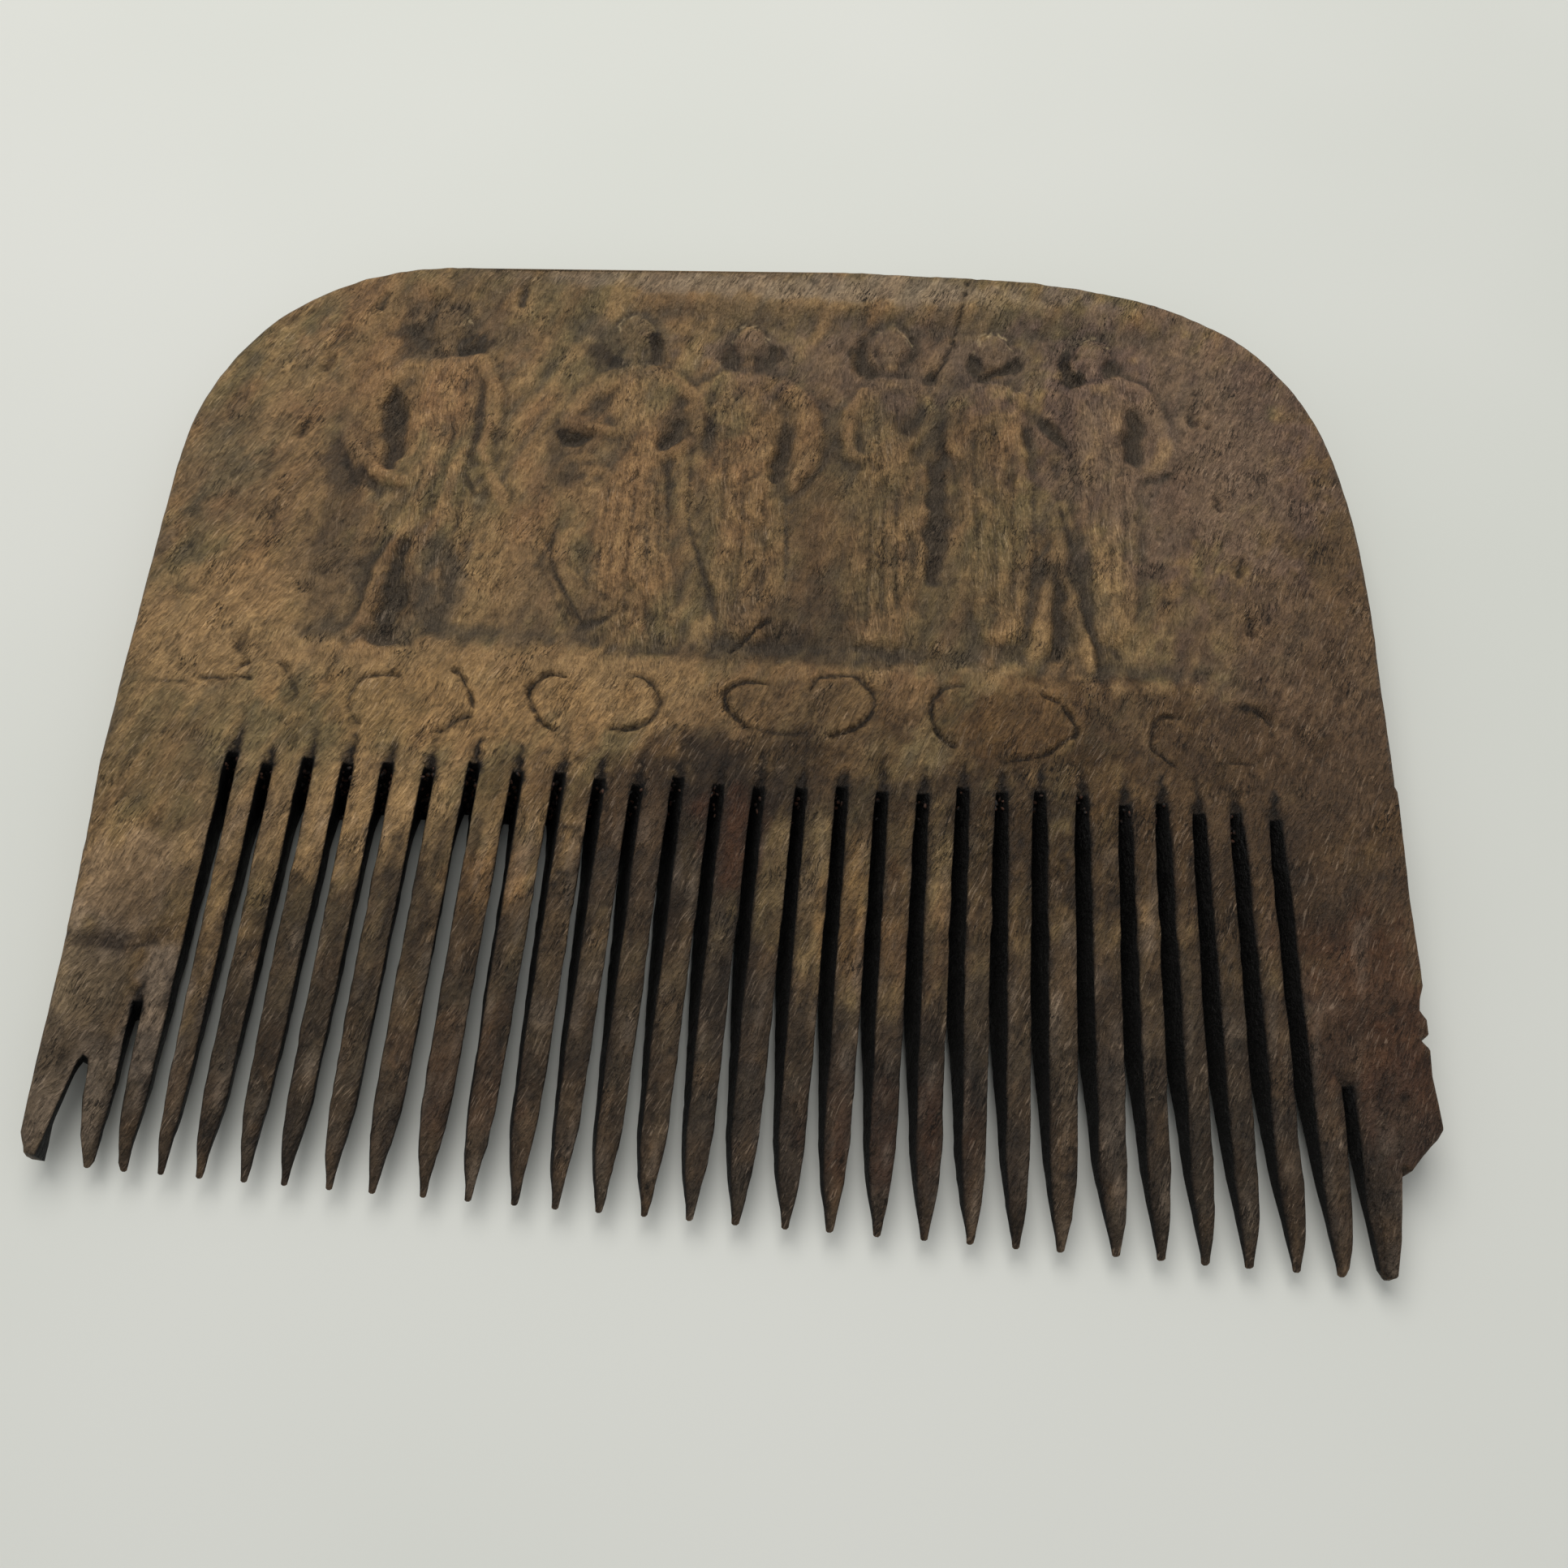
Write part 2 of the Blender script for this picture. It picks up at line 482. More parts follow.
# Rolls: height, then rows of x, y, width
ROLLS = [
    (0.62, [(-30.2, 28.8, 2.2), (-32.4, 26, 2.3), (-33.3, 22.5, 2.3), (-32.9, 19.8, 2),
            (-31.6, 17.8, 1.7), (-28.8, 16.9, 1.3)]),
    (0.65, [(-24.3, 29.6, 1.6), (-23, 26.5, 1.4), (-22.6, 22.5, 1.2), (-22.7, 19, 1.1),
            (-21.4, 16.9, 0.9), (-20.5, 15.2, 1.1)]),
    (0.60, [(-28.2, 11.4, 1.1), (-29.1, 8.2, 1.4), (-29.7, 4.2, 1.3), (-30.2, 2.4, 1.2)]),
    (0.65, [(-26.4, 11, 1.4), (-26.2, 7, 1.6), (-25.5, 3, 1.4), (-25, 1.9, 1.6)]),
    (0.70, [(-13, 28.4, 1.6), (-15, 26.2, 1.5), (-16.4, 24, 1.4), (-15.2, 23.3, 1.3),
            (-12.4, 22.6, 1.1)]),
    (0.70, [(-7.8, 28.4, 1.6), (-5.9, 26.4, 1.4), (-5.2, 24, 1.3), (-6.3, 21.6, 1.2), (-8.4, 20.4, 1)]),
    (0.30, [(-6.7, 20.4, 1.4), (-6.2, 13.1, 1.6), (-5.6, 11, 1.8), (-4.9, 7.4, 2.2), (-4.4, 3.2, 2.6),
            (-5, 2, 2)]),
    (0.30, [(-15, 12.4, 1), (-14.8, 9.2, 1.3), (-12.6, 5.8, 1.6)]),
    (0.62, [(1, 28, 2), (3, 26.4, 2), (3.9, 23.4, 1.8), (3.6, 20.4, 1.6), (2.5, 17.7, 1.2)]),
    (0.75, [(-3.9, 18, 1.2), (-2.2, 18.8, 1.3), (-0.1, 20.2, 1.2), (1, 21.6, 0.9)]),
    (0.65, [(-5, 27.8, 1.5), (-5.9, 24.6, 1.3), (-5.2, 21, 1.2), (-3.9, 18.2, 1.1)]),
    (0.55, [(-0.8, 17, 0.6), (-1.6, 15.4, 0.6), (-1, 13.8, 0.6)]),
    (0.70, [(8, 27.8, 1.6), (6.9, 24.6, 1.4), (7, 21, 1.2), (9.4, 20.6, 1.1)]),
    (0.75, [(11.2, 20.9, 0.9), (12.4, 23.5, 1.3), (13.6, 26, 1.5), (12.8, 28.2, 1.5)]),
    (0.55, [(13, 20.4, 0.6), (12.8, 15, 0.6), (12.9, 9.6, 0.6)]),
    (0.70, [(15.6, 27.6, 1.6), (15, 23.8, 1.4), (16.4, 21, 1.2), (18.9, 21.8, 1.1)]),
    (0.72, [(20.6, 28, 1.5), (20.7, 23, 1.2), (20.9, 18, 1.1), (21.3, 12, 1)]),
    (0.60, [(23.6, 14, 0.9), (22.8, 9, 1.2), (21.8, 3, 1.5)]),
    (0.60, [(23.6, 14, 0.9), (24.4, 8.4, 1.2), (25, 5.4, 1.2), (25.6, 2, 1.1)]),
    (0.72, [(25.7, 28.6, 1.5), (28.5, 29.5, 1.6), (30.8, 28.6, 1.6), (32.2, 26, 1.5), (32.8, 23.2, 1.4),
            (32, 21.2, 1.3), (30.4, 20.6, 1)]),
    (0.50, [(29.8, 20, 0.7), (29.4, 14, 0.8), (28.8, 8, 0.8)])]

# Hollows: depth, sharpness, then rows of x, y, width
HOLLOWS = [
    (0.75, 0.7, [(-31, 26.2, 1.2), (-30.6, 23.6, 2), (-30.3, 20.6, 1.9), (-30.2, 18.2, 1.2)]),
    (0.50, 0.8, [(-26, 30.7, 0.8), (-24.9, 31.2, 0.9), (-24.3, 32.7, 0.7)]),
    (0.35, 1, [(-33, 19.4, 0.5), (-31.6, 17, 0.7), (-30.4, 15.6, 0.5)]),
    (0.40, 1, [(-22.9, 18.8, 0.5), (-22, 17.9, 0.6), (-21.2, 16.8, 0.4)]),
    (0.70, 0.7, [(-27.6, 10.9, 0.8), (-27.9, 6.4, 1.7), (-27.9, 2, 2)]),
    (0.40, 1, [(-24.1, 9.4, 0.8), (-23.6, 5.8, 1)]),
    (0.30, 1, [(-30.6, 33.6, 1.2), (-29.4, 31.6, 1.2)]),
    (0.30, 0.9, [(-13.9, 29, 0.5), (-12.9, 29.7, 0.6), (-12.2, 30.2, 0.4)]),
    (0.50, 0.8, [(-9.7, 32.7, 0.7), (-9.6, 30.8, 0.9)]),
    (0.65, 0.7, [(-16.6, 21.6, 0.6), (-15.6, 21.9, 1.1), (-14.4, 22.1, 0.6)]),
    (0.25, 1, [(-15.5, 20.5, 0.35), (-13.2, 20.6, 0.35)]),
    (0.25, 1, [(-15.3, 19.2, 0.35), (-13.1, 19.3, 0.35)]),
    (0.25, 1, [(-15.2, 17.9, 0.35), (-13, 18, 0.35)]),
    (0.55, 0.8, [(-7.1, 24, 0.6), (-7.3, 22.8, 0.9), (-8.2, 21.3, 0.7)]),
    (0.30, 1, [(-4.3, 24.8, 0.4), (-4.4, 23, 0.6), (-5.2, 21.5, 0.4)]),
    (0.35, 1, [(-16.3, 12.2, 0.4), (-16.5, 9, 0.5), (-14, 3.7, 0.5)]),
    (0.50, 0.8, [(-13.6, 3.6, 0.4), (-12.2, 4.1, 0.9), (-10.7, 5, 0.5)]),
    (0.40, 1, [(-3.5, 31.4, 0.5), (-3.4, 30.3, 0.6)]),
    (0.50, 0.8, [(0.2, 32.4, 0.6), (0.1, 30.8, 0.8)]),
    (0.70, 0.7, [(2, 24.2, 0.7), (1.8, 21.6, 1.3), (1, 18.6, 1.2)]),
    (0.35, 1, [(4.6, 22.6, 0.4), (4.5, 19.6, 0.5), (3.2, 17.6, 0.5), (2, 16.6, 0.4)]),
    (0.30, 1, [(-6.2, 24, 0.7), (-5.6, 21, 0.7)]),
    (0.60, 0.7, [(7.7, 34, 0.7), (7.8, 32, 1.1), (8.4, 30.2, 1.5)]),
    (0.35, 1, [(12, 34.2, 0.5), (12.2, 32.6, 0.6), (11.8, 31.6, 0.5)]),
    (0.50, 0.8, [(13.9, 30.8, 0.6), (13.7, 29.8, 0.9)]),
    (0.60, 0.8, [(13, 27, 0.5), (13.1, 26.4, 0.7)]),
    (0.60, 0.7, [(13.9, 20.6, 1.4), (14, 15, 1.9), (13.9, 9.8, 1.8)]),
    (0.35, 1, [(14.6, 26.1, 0.5), (15, 22, 0.6), (15.5, 18.6, 0.5)]),
    (0.35, 1, [(17, 32.5, 0.5), (17.2, 30.8, 0.7)]),
    (0.50, 0.8, [(17.7, 30, 0.6), (19.4, 30.8, 0.9), (20.6, 31.5, 1.1), (21, 32.3, 0.6)]),
    (0.35, 1, [(21.5, 24.3, 0.5), (21.4, 22.2, 0.6)]),
    (0.30, 1, [(15.5, 9.7, 0.5), (17.1, 9.1, 0.5)]),
    (0.45, 0.8, [(22.4, 26.2, 0.5), (23.3, 24.6, 0.9), (24.2, 23.2, 0.5)]),
    (0.35, 1, [(23.8, 21.5, 0.3), (24.3, 18.2, 0.4), (25.2, 16.2, 0.4), (25.8, 13.5, 0.3)]),
    (0.35, 1, [(22.4, 12.6, 0.4), (23.6, 13.7, 0.4)]),
    (0.40, 1, [(24.2, 13.2, 0.3), (24.6, 8.6, 0.5), (25.4, 5.8, 0.6), (26.2, 3.2, 0.5), (26.2, 1, 0.4)]),
    (0.45, 0.8, [(23.2, 11, 0.5), (23.3, 7, 1.2), (23.3, 3, 1.8)]),
    (0.65, 0.7, [(24.7, 31.9, 0.8), (25.4, 30.4, 1.3), (26, 29.8, 0.8)]),
    (0.30, 1, [(28.8, 32, 0.5), (28.7, 31.2, 0.6)]),
    (0.35, 1, [(31, 29.8, 0.3), (32.6, 27, 0.4)]),
    (0.60, 0.7, [(30, 26.6, 1), (30.2, 24.4, 1.7), (29.8, 21.8, 1.3)]),
    (0.35, 1, [(30.8, 19.8, 0.5), (31.9, 20, 0.5), (33.2, 21, 0.4)]),
    (0.35, 1, [(26.9, 4.3, 0.8), (27.9, 3, 0.8)])]

# Fine grooves between folds: depth, then rows of x, y, width
FOLDS = [
    (0.16, [(-22.9, 26.6, 0.35), (-22.5, 24, 0.4), (-22.1, 21.3, 0.3)]),
    (0.10, [(-27.6, 26, 0.3), (-27.2, 20, 0.4), (-27.6, 14, 0.3)]),
    (0.10, [(-25.6, 24, 0.3), (-25.4, 18, 0.4), (-26, 12, 0.3)]),
    (0.13, [(-24, 20, 0.3), (-23.8, 14, 0.4), (-24.4, 8, 0.3)]),
    (0.15, [(-11, 19.4, 0.3), (-11.4, 12, 0.4), (-11.6, 4, 0.4)]),
    (0.15, [(-10.1, 19.4, 0.3), (-10.1, 12, 0.4), (-9.9, 3.4, 0.4)]),
    (0.15, [(-9.2, 19.2, 0.3), (-8.8, 12, 0.4), (-8.1, 3.6, 0.4)]),
    (0.13, [(-12.3, 17, 0.3), (-12.4, 12, 0.4), (-12.3, 7, 0.3)]),
    (0.15, [(-8.4, 17.6, 0.3), (-7.7, 11, 0.4), (-6.6, 4.6, 0.4)]),
    (0.22, [(-7.9, 21.2, 0.3), (-7.5, 16.7, 0.4), (-7.2, 12, 0.3)]),
    (0.26, [(-5.9, 19.4, 0.3), (-5.6, 13.6, 0.35), (-4.6, 10.4, 0.4), (-3.6, 7.4, 0.4), (-2.8, 3.6, 0.35),
            (-3.4, 1.2, 0.3)]),
    (0.26, [(-15.9, 14.4, 0.3), (-16.3, 11.4, 0.35), (-15.7, 9, 0.4), (-13.6, 5, 0.4), (-13, 3.9, 0.35)]),
    (0.24, [(-10.9, 6, 0.3), (-12.6, 7.4, 0.3), (-14.6, 9.4, 0.25)]),
    (0.10, [(-10.8, 28.6, 0.3), (-10.6, 25, 0.4), (-10.2, 21.4, 0.3)]),
    (0.10, [(-3.3, 26.4, 0.3), (-3, 18, 0.4), (-3, 8, 0.3)]),
    (0.10, [(-1.9, 25.4, 0.3), (-1.4, 16, 0.4), (-1.4, 6.4, 0.3)]),
    (0.10, [(0.2, 17.4, 0.3), (0.5, 12, 0.4), (0.4, 6.6, 0.3)]),
    (0.18, [(1.9, 16.4, 0.3), (2.2, 12, 0.4), (2.2, 8.8, 0.3)]),
    (0.13, [(-2.6, 17.2, 0.3), (-0.6, 18.4, 0.4), (0.8, 20, 0.3)]),
    (0.15, [(8.8, 17.5, 0.3), (8.7, 11, 0.4), (8.6, 4, 0.3)]),
    (0.12, [(9.8, 18, 0.3), (9.8, 12, 0.3), (9.7, 5, 0.3)]),
    (0.15, [(10.8, 17.4, 0.3), (10.8, 11, 0.4), (10.8, 3.8, 0.3)]),
    (0.12, [(8.8, 27.4, 0.3), (9.2, 23, 0.4), (9.4, 18.8, 0.3)]),
    (0.14, [(17.1, 26, 0.3), (17, 18, 0.4), (17.3, 11, 0.3)]),
    (0.14, [(18.7, 27, 0.3), (18.6, 16, 0.4), (18.6, 6, 0.3)]),
    (0.13, [(20, 18.4, 0.3), (20, 12, 0.4), (19.9, 6, 0.3)]),
    (0.18, [(21.8, 18.9, 0.3), (21.7, 14, 0.4), (21.5, 10.2, 0.4), (20.9, 5.6, 0.3)]),
    (0.13, [(26.4, 21.6, 0.3), (26.2, 15, 0.4), (25.9, 8.9, 0.3)]),
    (0.13, [(27.9, 22.4, 0.3), (27.7, 15, 0.4), (27.5, 8, 0.3)]),
    (0.13, [(29.1, 21, 0.3), (28.9, 15, 0.4), (28.4, 10, 0.3)])]

# Cracks: depth, then rows of x, y, width
CRACKS = [
    (0.35, [(16.8, 40.6, 0.25), (16.2, 37.6, 0.30), (15.4, 34, 0.25), (14.5, 31.4, 0.30),
            (13.7, 30, 0.30)]),
    (0.40, [(-1.6, 2, 0.25), (-0.4, 3.2, 0.35), (0.5, 4.3, 0.40), (1.4, 5, 0.25)]),
    (0.40, [(-22.7, -6.2, 0.35), (-21.7, -5.8, 0.60), (-20.9, -5, 0.40), (-20.1, -4.8, 0.25)]),
    (0.30, [(34.9, 25.6, 0.20), (36.2, 24.9, 0.20)]),
    (0.35, [(43.7, -25, 0.25), (44.4, -24.2, 0.35), (45, -23.7, 0.20)]),
    (0.30, [(44, -30.5, 0.25), (45.2, -29.5, 0.25)]),
    (0.20, [(-46.4, -3, 0.20), (-43, -3, 0.25), (-39.8, -2.5, 0.25), (-37, -2.3, 0.20)]),
    (0.30, [(-39.9, -30.4, 0.20), (-39.2, -30.9, 0.25), (-38.8, -32, 0.20)]),
    (0.25, [(35.2, -1.6, 0.25), (36.8, -1.7, 0.35), (38.2, -2.6, 0.30), (38.4, -4, 0.25)])]

# Scored lines across the left guard: rows of x, y, width, and their depth
SCORED_BAND = [[(-46.4, -22.7, 0.3), (-43.0, -22.9, 0.5), (-39.0, -22.2, 0.4)],
               [(-46.0, -23.4, 0.3), (-42.0, -23.5, 0.4), (-39.4, -22.9, 0.3)]]
SCORED_D = 0.13

# How many small pores are scattered over the face, and how deep they are
PORES, PORE_D = 170, 0.12

# The direction of the bone's fibres on the plate, in degrees from +X
FIBRE_TURN = 62

# Tear-shaped pits in the guards: depth, and for each how far along it lies and its width there
PIT_D = 0.34
PIT_SHAPE = [(0, 0.95), (0.4, 0.75), (1, 0.2)]

# Each pit: x, y, heading of the point in degrees, length
PITS = [
    (-21.6, 36.2, 80, 1.9), (-33.6, 34.9, 75, 1.7), (-37, 27.8, 65, 1.8), (-37.7, 20.8, 75, 2),
    (-38.4, 12.3, 85, 2), (-38.4, 0.2, 80, 2.1), (34.9, 25.4, 100, 1.5), (36.3, 16.7, 95, 1.6),
    (37.3, 10.4, 80, 1.8), (37.7, 5.1, 90, 1.6)]

# Engraved rings, worn away in places, as strokes: depth, then rows of x, y
RINGS = [
    (0.44, [(-38.2, -1.7), (-37.2, -0.9), (-36.2, -0.6), (-35.1, -0.9), (-34, -2.2)]),
    (0.16, [(-34, -2.2), (-33.3, -3.6), (-33.9, -4.6)]),
    (0.14, [(-39.7, -2.9), (-38.3, -2.4), (-36.8, -2.5)]),
    (0.30, [(-29.3, -3.4), (-29, -2.4), (-28, -1.7), (-25.9, -1.6)]),
    (0.14, [(-29.3, -3.4), (-29.2, -4.8), (-28.2, -6)]),
    (0.34, [(-22.4, -0.8), (-21.4, -1.5), (-20.5, -3), (-20.1, -4.2)]),
    (0.36, [(-13.3, -1.4), (-14.7, -1), (-15.7, -1.6), (-16.2, -2.6), (-15.9, -3.7), (-15, -5.1),
            (-13.9, -5.8)]),
    (0.36, [(-8.7, -0.8), (-7.6, -1.1), (-6.8, -2.1), (-6.5, -3), (-6.7, -4.1), (-7.4, -5), (-8.5, -5.4),
            (-10, -5.4)]),
    (0.36, [(1.2, -1), (-0.5, -1.1), (-1.5, -1.8), (-1.7, -2.5), (-1.2, -3.7), (0.1, -4.8)]),
    (0.36, [(4.6, -1.2), (5.1, -0.4), (6.5, -0.2), (7.7, -0.1), (8.6, -0.8), (9.3, -1.9), (9.3, -2.7),
            (8.9, -3.6), (8.1, -4.5), (7, -5), (6.1, -5.2)]),
    (0.16, [(0.1, -4.8), (2.4, -5.3), (4.2, -5.2)]),
    (0.34, [(16.1, -0.7), (14.9, -0.7), (14.1, -1.2), (13.5, -2.5), (13.7, -4.1), (14.4, -5.3),
            (15.2, -5.9)]),
    (0.34, [(21, -0.7), (22.2, -1.4), (23.1, -2), (23.8, -3.1), (24.1, -4.3), (23.1, -5), (22, -6),
            (21, -6.5), (19, -6.8)]),
    (0.32, [(31.9, -2.6), (30.3, -2.6), (29.7, -3.6), (29.5, -5), (30.3, -6), (31.4, -7)]),
    (0.24, [(36.1, -1.4), (37.2, -1.5), (38.1, -2.5)]),
    (0.22, [(33.7, -6.4), (37.3, -6.1)])]
RING_W, RING_LIP = 0.38, 0.05

# A ring's stroke of this depth is filled with dirt all over
FULL_DARK = 0.3

# How far wear has shifted the carved outlines, and over what distance each way
WANDER = [(0.28, 1.7), (0.12, 0.8)]


def carve_ground(face):
    """The sunk panel: a worn ledge below, a low border above on the right, and soft sides."""
    x, y = face.x, face.y
    ledge = np.interp(x, *np.array(LEDGE).T) + 0.35 * lumps(x, x * 0, 2.6, 21) + 0.3 * lumps(x, y, 1.1, 24)
    below = smooth(ledge - 0.5, ledge + 2.3, y)
    border = 37.1 + 0.3 * lumps(x, x * 0, 3.0, 22)
    above = smooth(border + 0.5, border - 2.6, y)
    above = mix(smooth(38.6, 33.0, y), above, smooth(-17.0, -12.0, x))
    left = smooth(-36.0 + 0.12 * (y - 20), -30.5, x)
    right = smooth(36.5, 31.0, x)
    uneven = 1 + 0.22 * lumps(x, y, 4.5, 23)
    face.z = -PANEL_D * below * above * left * right * uneven
    face.ground = face.z.copy()


def wander(face):
    """Shifts the carved outlines a little this way and that, as a hand and wear do, less at the heads."""
    shift_x, shift_y = np.zeros(face.x.shape), np.zeros(face.x.shape)
    for k, (far, size) in enumerate(WANDER):
        shift_x += far * lumps(face.x, face.y, size, 27 + 2 * k)
        shift_y += far * lumps(face.x, face.y, size, 28 + 2 * k)
    calm = 1 - 0.6 * soften(near_heads(face.x, face.y) * 1.0, 0.4)
    return field_at(face.z, face.x + shift_x * calm, face.y + shift_y * calm)


def carve_head(face, x, y, w):
    """A head with a cap of hair and a calm, worn face of even proportions."""
    tall = w * 0.68
    s = face.near(np.array([(x, y, w * 1.9), (x, y, w * 1.9)]))
    u, v = (face.x[s] - x) / (w / 2), (face.y[s] - y) / tall
    jaw = 1 + 0.22 * np.clip(-v, 0, 1)
    egg = np.hypot(u * jaw, v)
    top = face.ground[s] - WORN_SEAM + (HEAD_H + WORN_SEAM) * np.clip(1 - egg ** 2.6, 0, 1) ** 0.9
    neck = smooth(-1.75, -1.2, v) * smooth(0.0, -0.6, v) * np.clip(1 - (u / 0.62) ** 2, 0, 1)
    hair = smooth(0.60, 0.74, np.hypot(u * 0.95, v - 0.04)) * smooth(-0.1, 0.25, v) * (egg < 1.05)
    locks = np.sin(np.arctan2(v, u) * 7 + 11 * np.hypot(u, v) + 4 * lumps(face.x[s], face.y[s], 0.7, 36))
    pale = hair * smooth(0.45, 0.9, locks) * smooth(-0.8, 0.2, lumps(face.x[s], face.y[s], 1.6, 38))
    face.hair[s] = np.maximum(face.hair[s], pale)

    def spot(across, up, wide, high):
        return np.exp(-((u - across) / wide) ** 2 - ((v - up) / high) ** 2)

    eyes = sum(spot(side * EYE_OUT, 0.08, 0.17, 0.09) for side in (-1, 1))
    brow = sum(spot(side * EYE_OUT, 0.22, 0.26, 0.06) for side in (-1, 1))
    nose = np.exp(-(u / 0.12) ** 2) * smooth(-0.24, -0.16, v) * smooth(0.24, 0.0, v)
    mouth = spot(0, -0.42, 0.24, 0.045)
    chin = spot(0, -0.66, 0.2, 0.12)
    cap = (0.07 + 0.03 * locks) * hair
    relief = cap - 0.12 * eyes + 0.04 * brow + 0.11 * nose - 0.07 * mouth + 0.03 * chin
    face.join(s, face.ground[s] - WORN_SEAM + (NECK_H + WORN_SEAM) * neck)
    face.join(s, top + relief * (egg < 1.05))


def body_line(body, more=0.0):
    """The middle line of a body as x, y, width, which may be more than the body's own."""
    return [((left + right) / 2, y, right - left + more) for y, left, right in body["rows"]]


def carve_figures(face):
    """Bodies, rolls, heads and hollows, then wear over them all, and last the fine folds."""
    moat = np.zeros(face.z.shape)
    for body in BODIES:
        face.mark(moat, body_line(body, MOAT_W), 1.0, 0.72)
    face.ground -= MOAT_D * soften(moat, 0.5)
    face.z = face.ground.copy()
    for k, body in enumerate(BODIES):
        face.robe(body["rows"], ROBE_H, body["folds"], 31 + k)
    for height, path in ROLLS:
        face.roll(path, height * ROLL_SHARE)
    for x, y, w in HEADS:
        carve_head(face, x, y, w)
    face.cut(GIRDLE, GIRDLE_D)
    for depth, sharp, path in HOLLOWS:
        face.cut(path, depth, sharp)
    heads = soften(near_heads(face.x, face.y) * 1.0, 0.3)
    face.z = mix(soften(face.z, 0.27), soften(face.z, 0.14), heads)
    raised = np.maximum(face.z - face.ground, 0)
    worn = (WORN_AWAY + 0.40 * lumps(face.x, face.y, 4.2, 35)).clip(0, 0.7)
    face.z -= raised * worn * (1 - heads)
    face.z = wander(face)
    for depth, path in FOLDS:
        face.cut(path, depth)


def carve_rings(face):
    """Scratchy grooves with broken edges, deepest in the middle of each stroke."""
    for depth, stroke in RINGS:
        line = curve(stroke)
        worn = np.sin(np.linspace(0.25, math.pi - 0.25, len(line)))
        path = np.column_stack([line, RING_W * np.clip(worn * 1.8, 0.5, 1)])
        s = face.near(path, 1.0)
        x, y, u = face.x[s], face.y[s], face.across(path, s)
        chips = 0.50 * lumps(x, y, 0.32, 41) + 0.40 * lumps(x, y, 0.9, 42)
        face.z[s] -= depth * (0.9 + 0.4 * lumps(x, y, 1.1, 43)) * smooth(1.25, 0.45, u + chips)
        face.z[s] += RING_LIP * np.exp(-((u - 1.9) / 0.5) ** 2)
        face.engraved[s] = np.maximum(face.engraved[s], u < 2.0)
        dirty = (0.8 + 0.8 * lumps(x, y, 0.6, 44)).clip(0, 1)
        dark = smooth(1.1, 0.5, u + chips) * min(depth / FULL_DARK, 1) * dirty
        face.scored[s] = np.maximum(face.scored[s], dark)


def drop(x, y, heading, length, widths):
    """A short straight path with a blunt start and a narrow end, through as many points as widths."""
    a = math.radians(heading)
    return [(x + far * length * math.cos(a), y + far * length * math.sin(a), w) for far, w in widths]


def carve_pits(face):
    """Tear-shaped pits, cracks, scored lines and the scattered small pores of the bone."""
    for x, y, heading, length in PITS:
        face.cut(drop(x, y, heading, length, PIT_SHAPE), PIT_D, 0.8)
    for depth, path in CRACKS:
        face.cut(path, depth, 0.8)
        face.mark(face.scored, path, 1.1, 0.5)
    for path in SCORED_BAND:
        face.cut(path, SCORED_D)
    scatter = np.random.default_rng(51)
    sizes = [scatter.uniform(low, high, PORES) for low, high in [(-44, 44), (-9, 39), (0.2, 0.5)]]
    for x, y, size in zip(*sizes):
        heading = scatter.normal(FIBRE_TURN, 18)
        face.cut(drop(x, y, heading, 1.4 * size, [(0, size), (1, size * 0.5)]), PORE_D)


def carve_run_outs(face):
    """The shallow grooves where the saw ran out above each slot."""
    for g in range(TEETH - 1):
        end, foot = (np.array(p) for p in cut(g))
        back = (end - foot) / np.linalg.norm(foot - end)
        length = RUN_OUT * (1 + 0.45 * math.sin(g * 2.3)) if 0 < g < TEETH - 2 else SHORT_RUN_OUT
        at = np.linspace(0, 1, 8)
        path = np.column_stack([end + back * (at * length)[:, None] - back * 0.4 * (1 - at)[:, None],
                                mix(0.85, 0.35, at)])
        s = face.near(path)
        u = face.across(path, s)
        along = ((face.x[s] - end[0]) * back[0] + (face.y[s] - end[1]) * back[1]) / length
        face.z[s] -= RUN_DEEP * np.clip(1 - along, 0, 1) * np.clip(1 - u * u, 0, 1) ** 0.6


# A knife facet on a tooth: how far beside and above its tip, and how wide; its depth; and how many of the
# first teeth have it on their right, while the rest have it on their left
TIP_FACET = [(1.15, 6.2, 0.9), (0.55, 2.4, 0.9), (0.25, 0, 0.6)]
TIP_FACET_D, RIGHT_FACETS = 0.28, 9


def carve_tooth_tips(face):
    """Knife facets that thin each tooth toward its tip."""
    for j in range(TEETH):
        x, y = tip_x(j), tip_y(j)
        side = 1 if j < RIGHT_FACETS else -1
        path = np.array([(x + side * out, y + up, w) for out, up, w in TIP_FACET])
        s = face.near(path)
        face.z[s] -= TIP_FACET_D * np.clip(1 - face.across(path, s), 0, 1)


def roughen(face):
    """Uneven wear and raised fibres all over; nothing stands higher than the bare face."""
    x, y = face.x, face.y
    waves = 0.05 * lumps(x, y, 7.0, 61) + 0.05 * lumps(x, y, 2.6, 62) + 0.035 * lumps(x, y, 1.1, 65)
    fibres = 0.045 * grain(x, y, 3.6, 0.6, 62, 63) + 0.04 * grain(x, y, 1.7, 0.38, 68, 64)
    face.z = np.minimum(face.z + waves + fibres - 0.1, 0)


def carve_face():
    face = Face()
    carve_ground(face)
    carve_figures(face)
    face.ground = face.z.copy()
    face.roll(LENS, LENS_H)
    carve_rings(face)
    carve_pits(face)
    carve_run_outs(face)
    carve_tooth_tips(face)
    roughen(face)
    return face


# Stains: the colour of the face before its fine grain, as broad patches of named tones

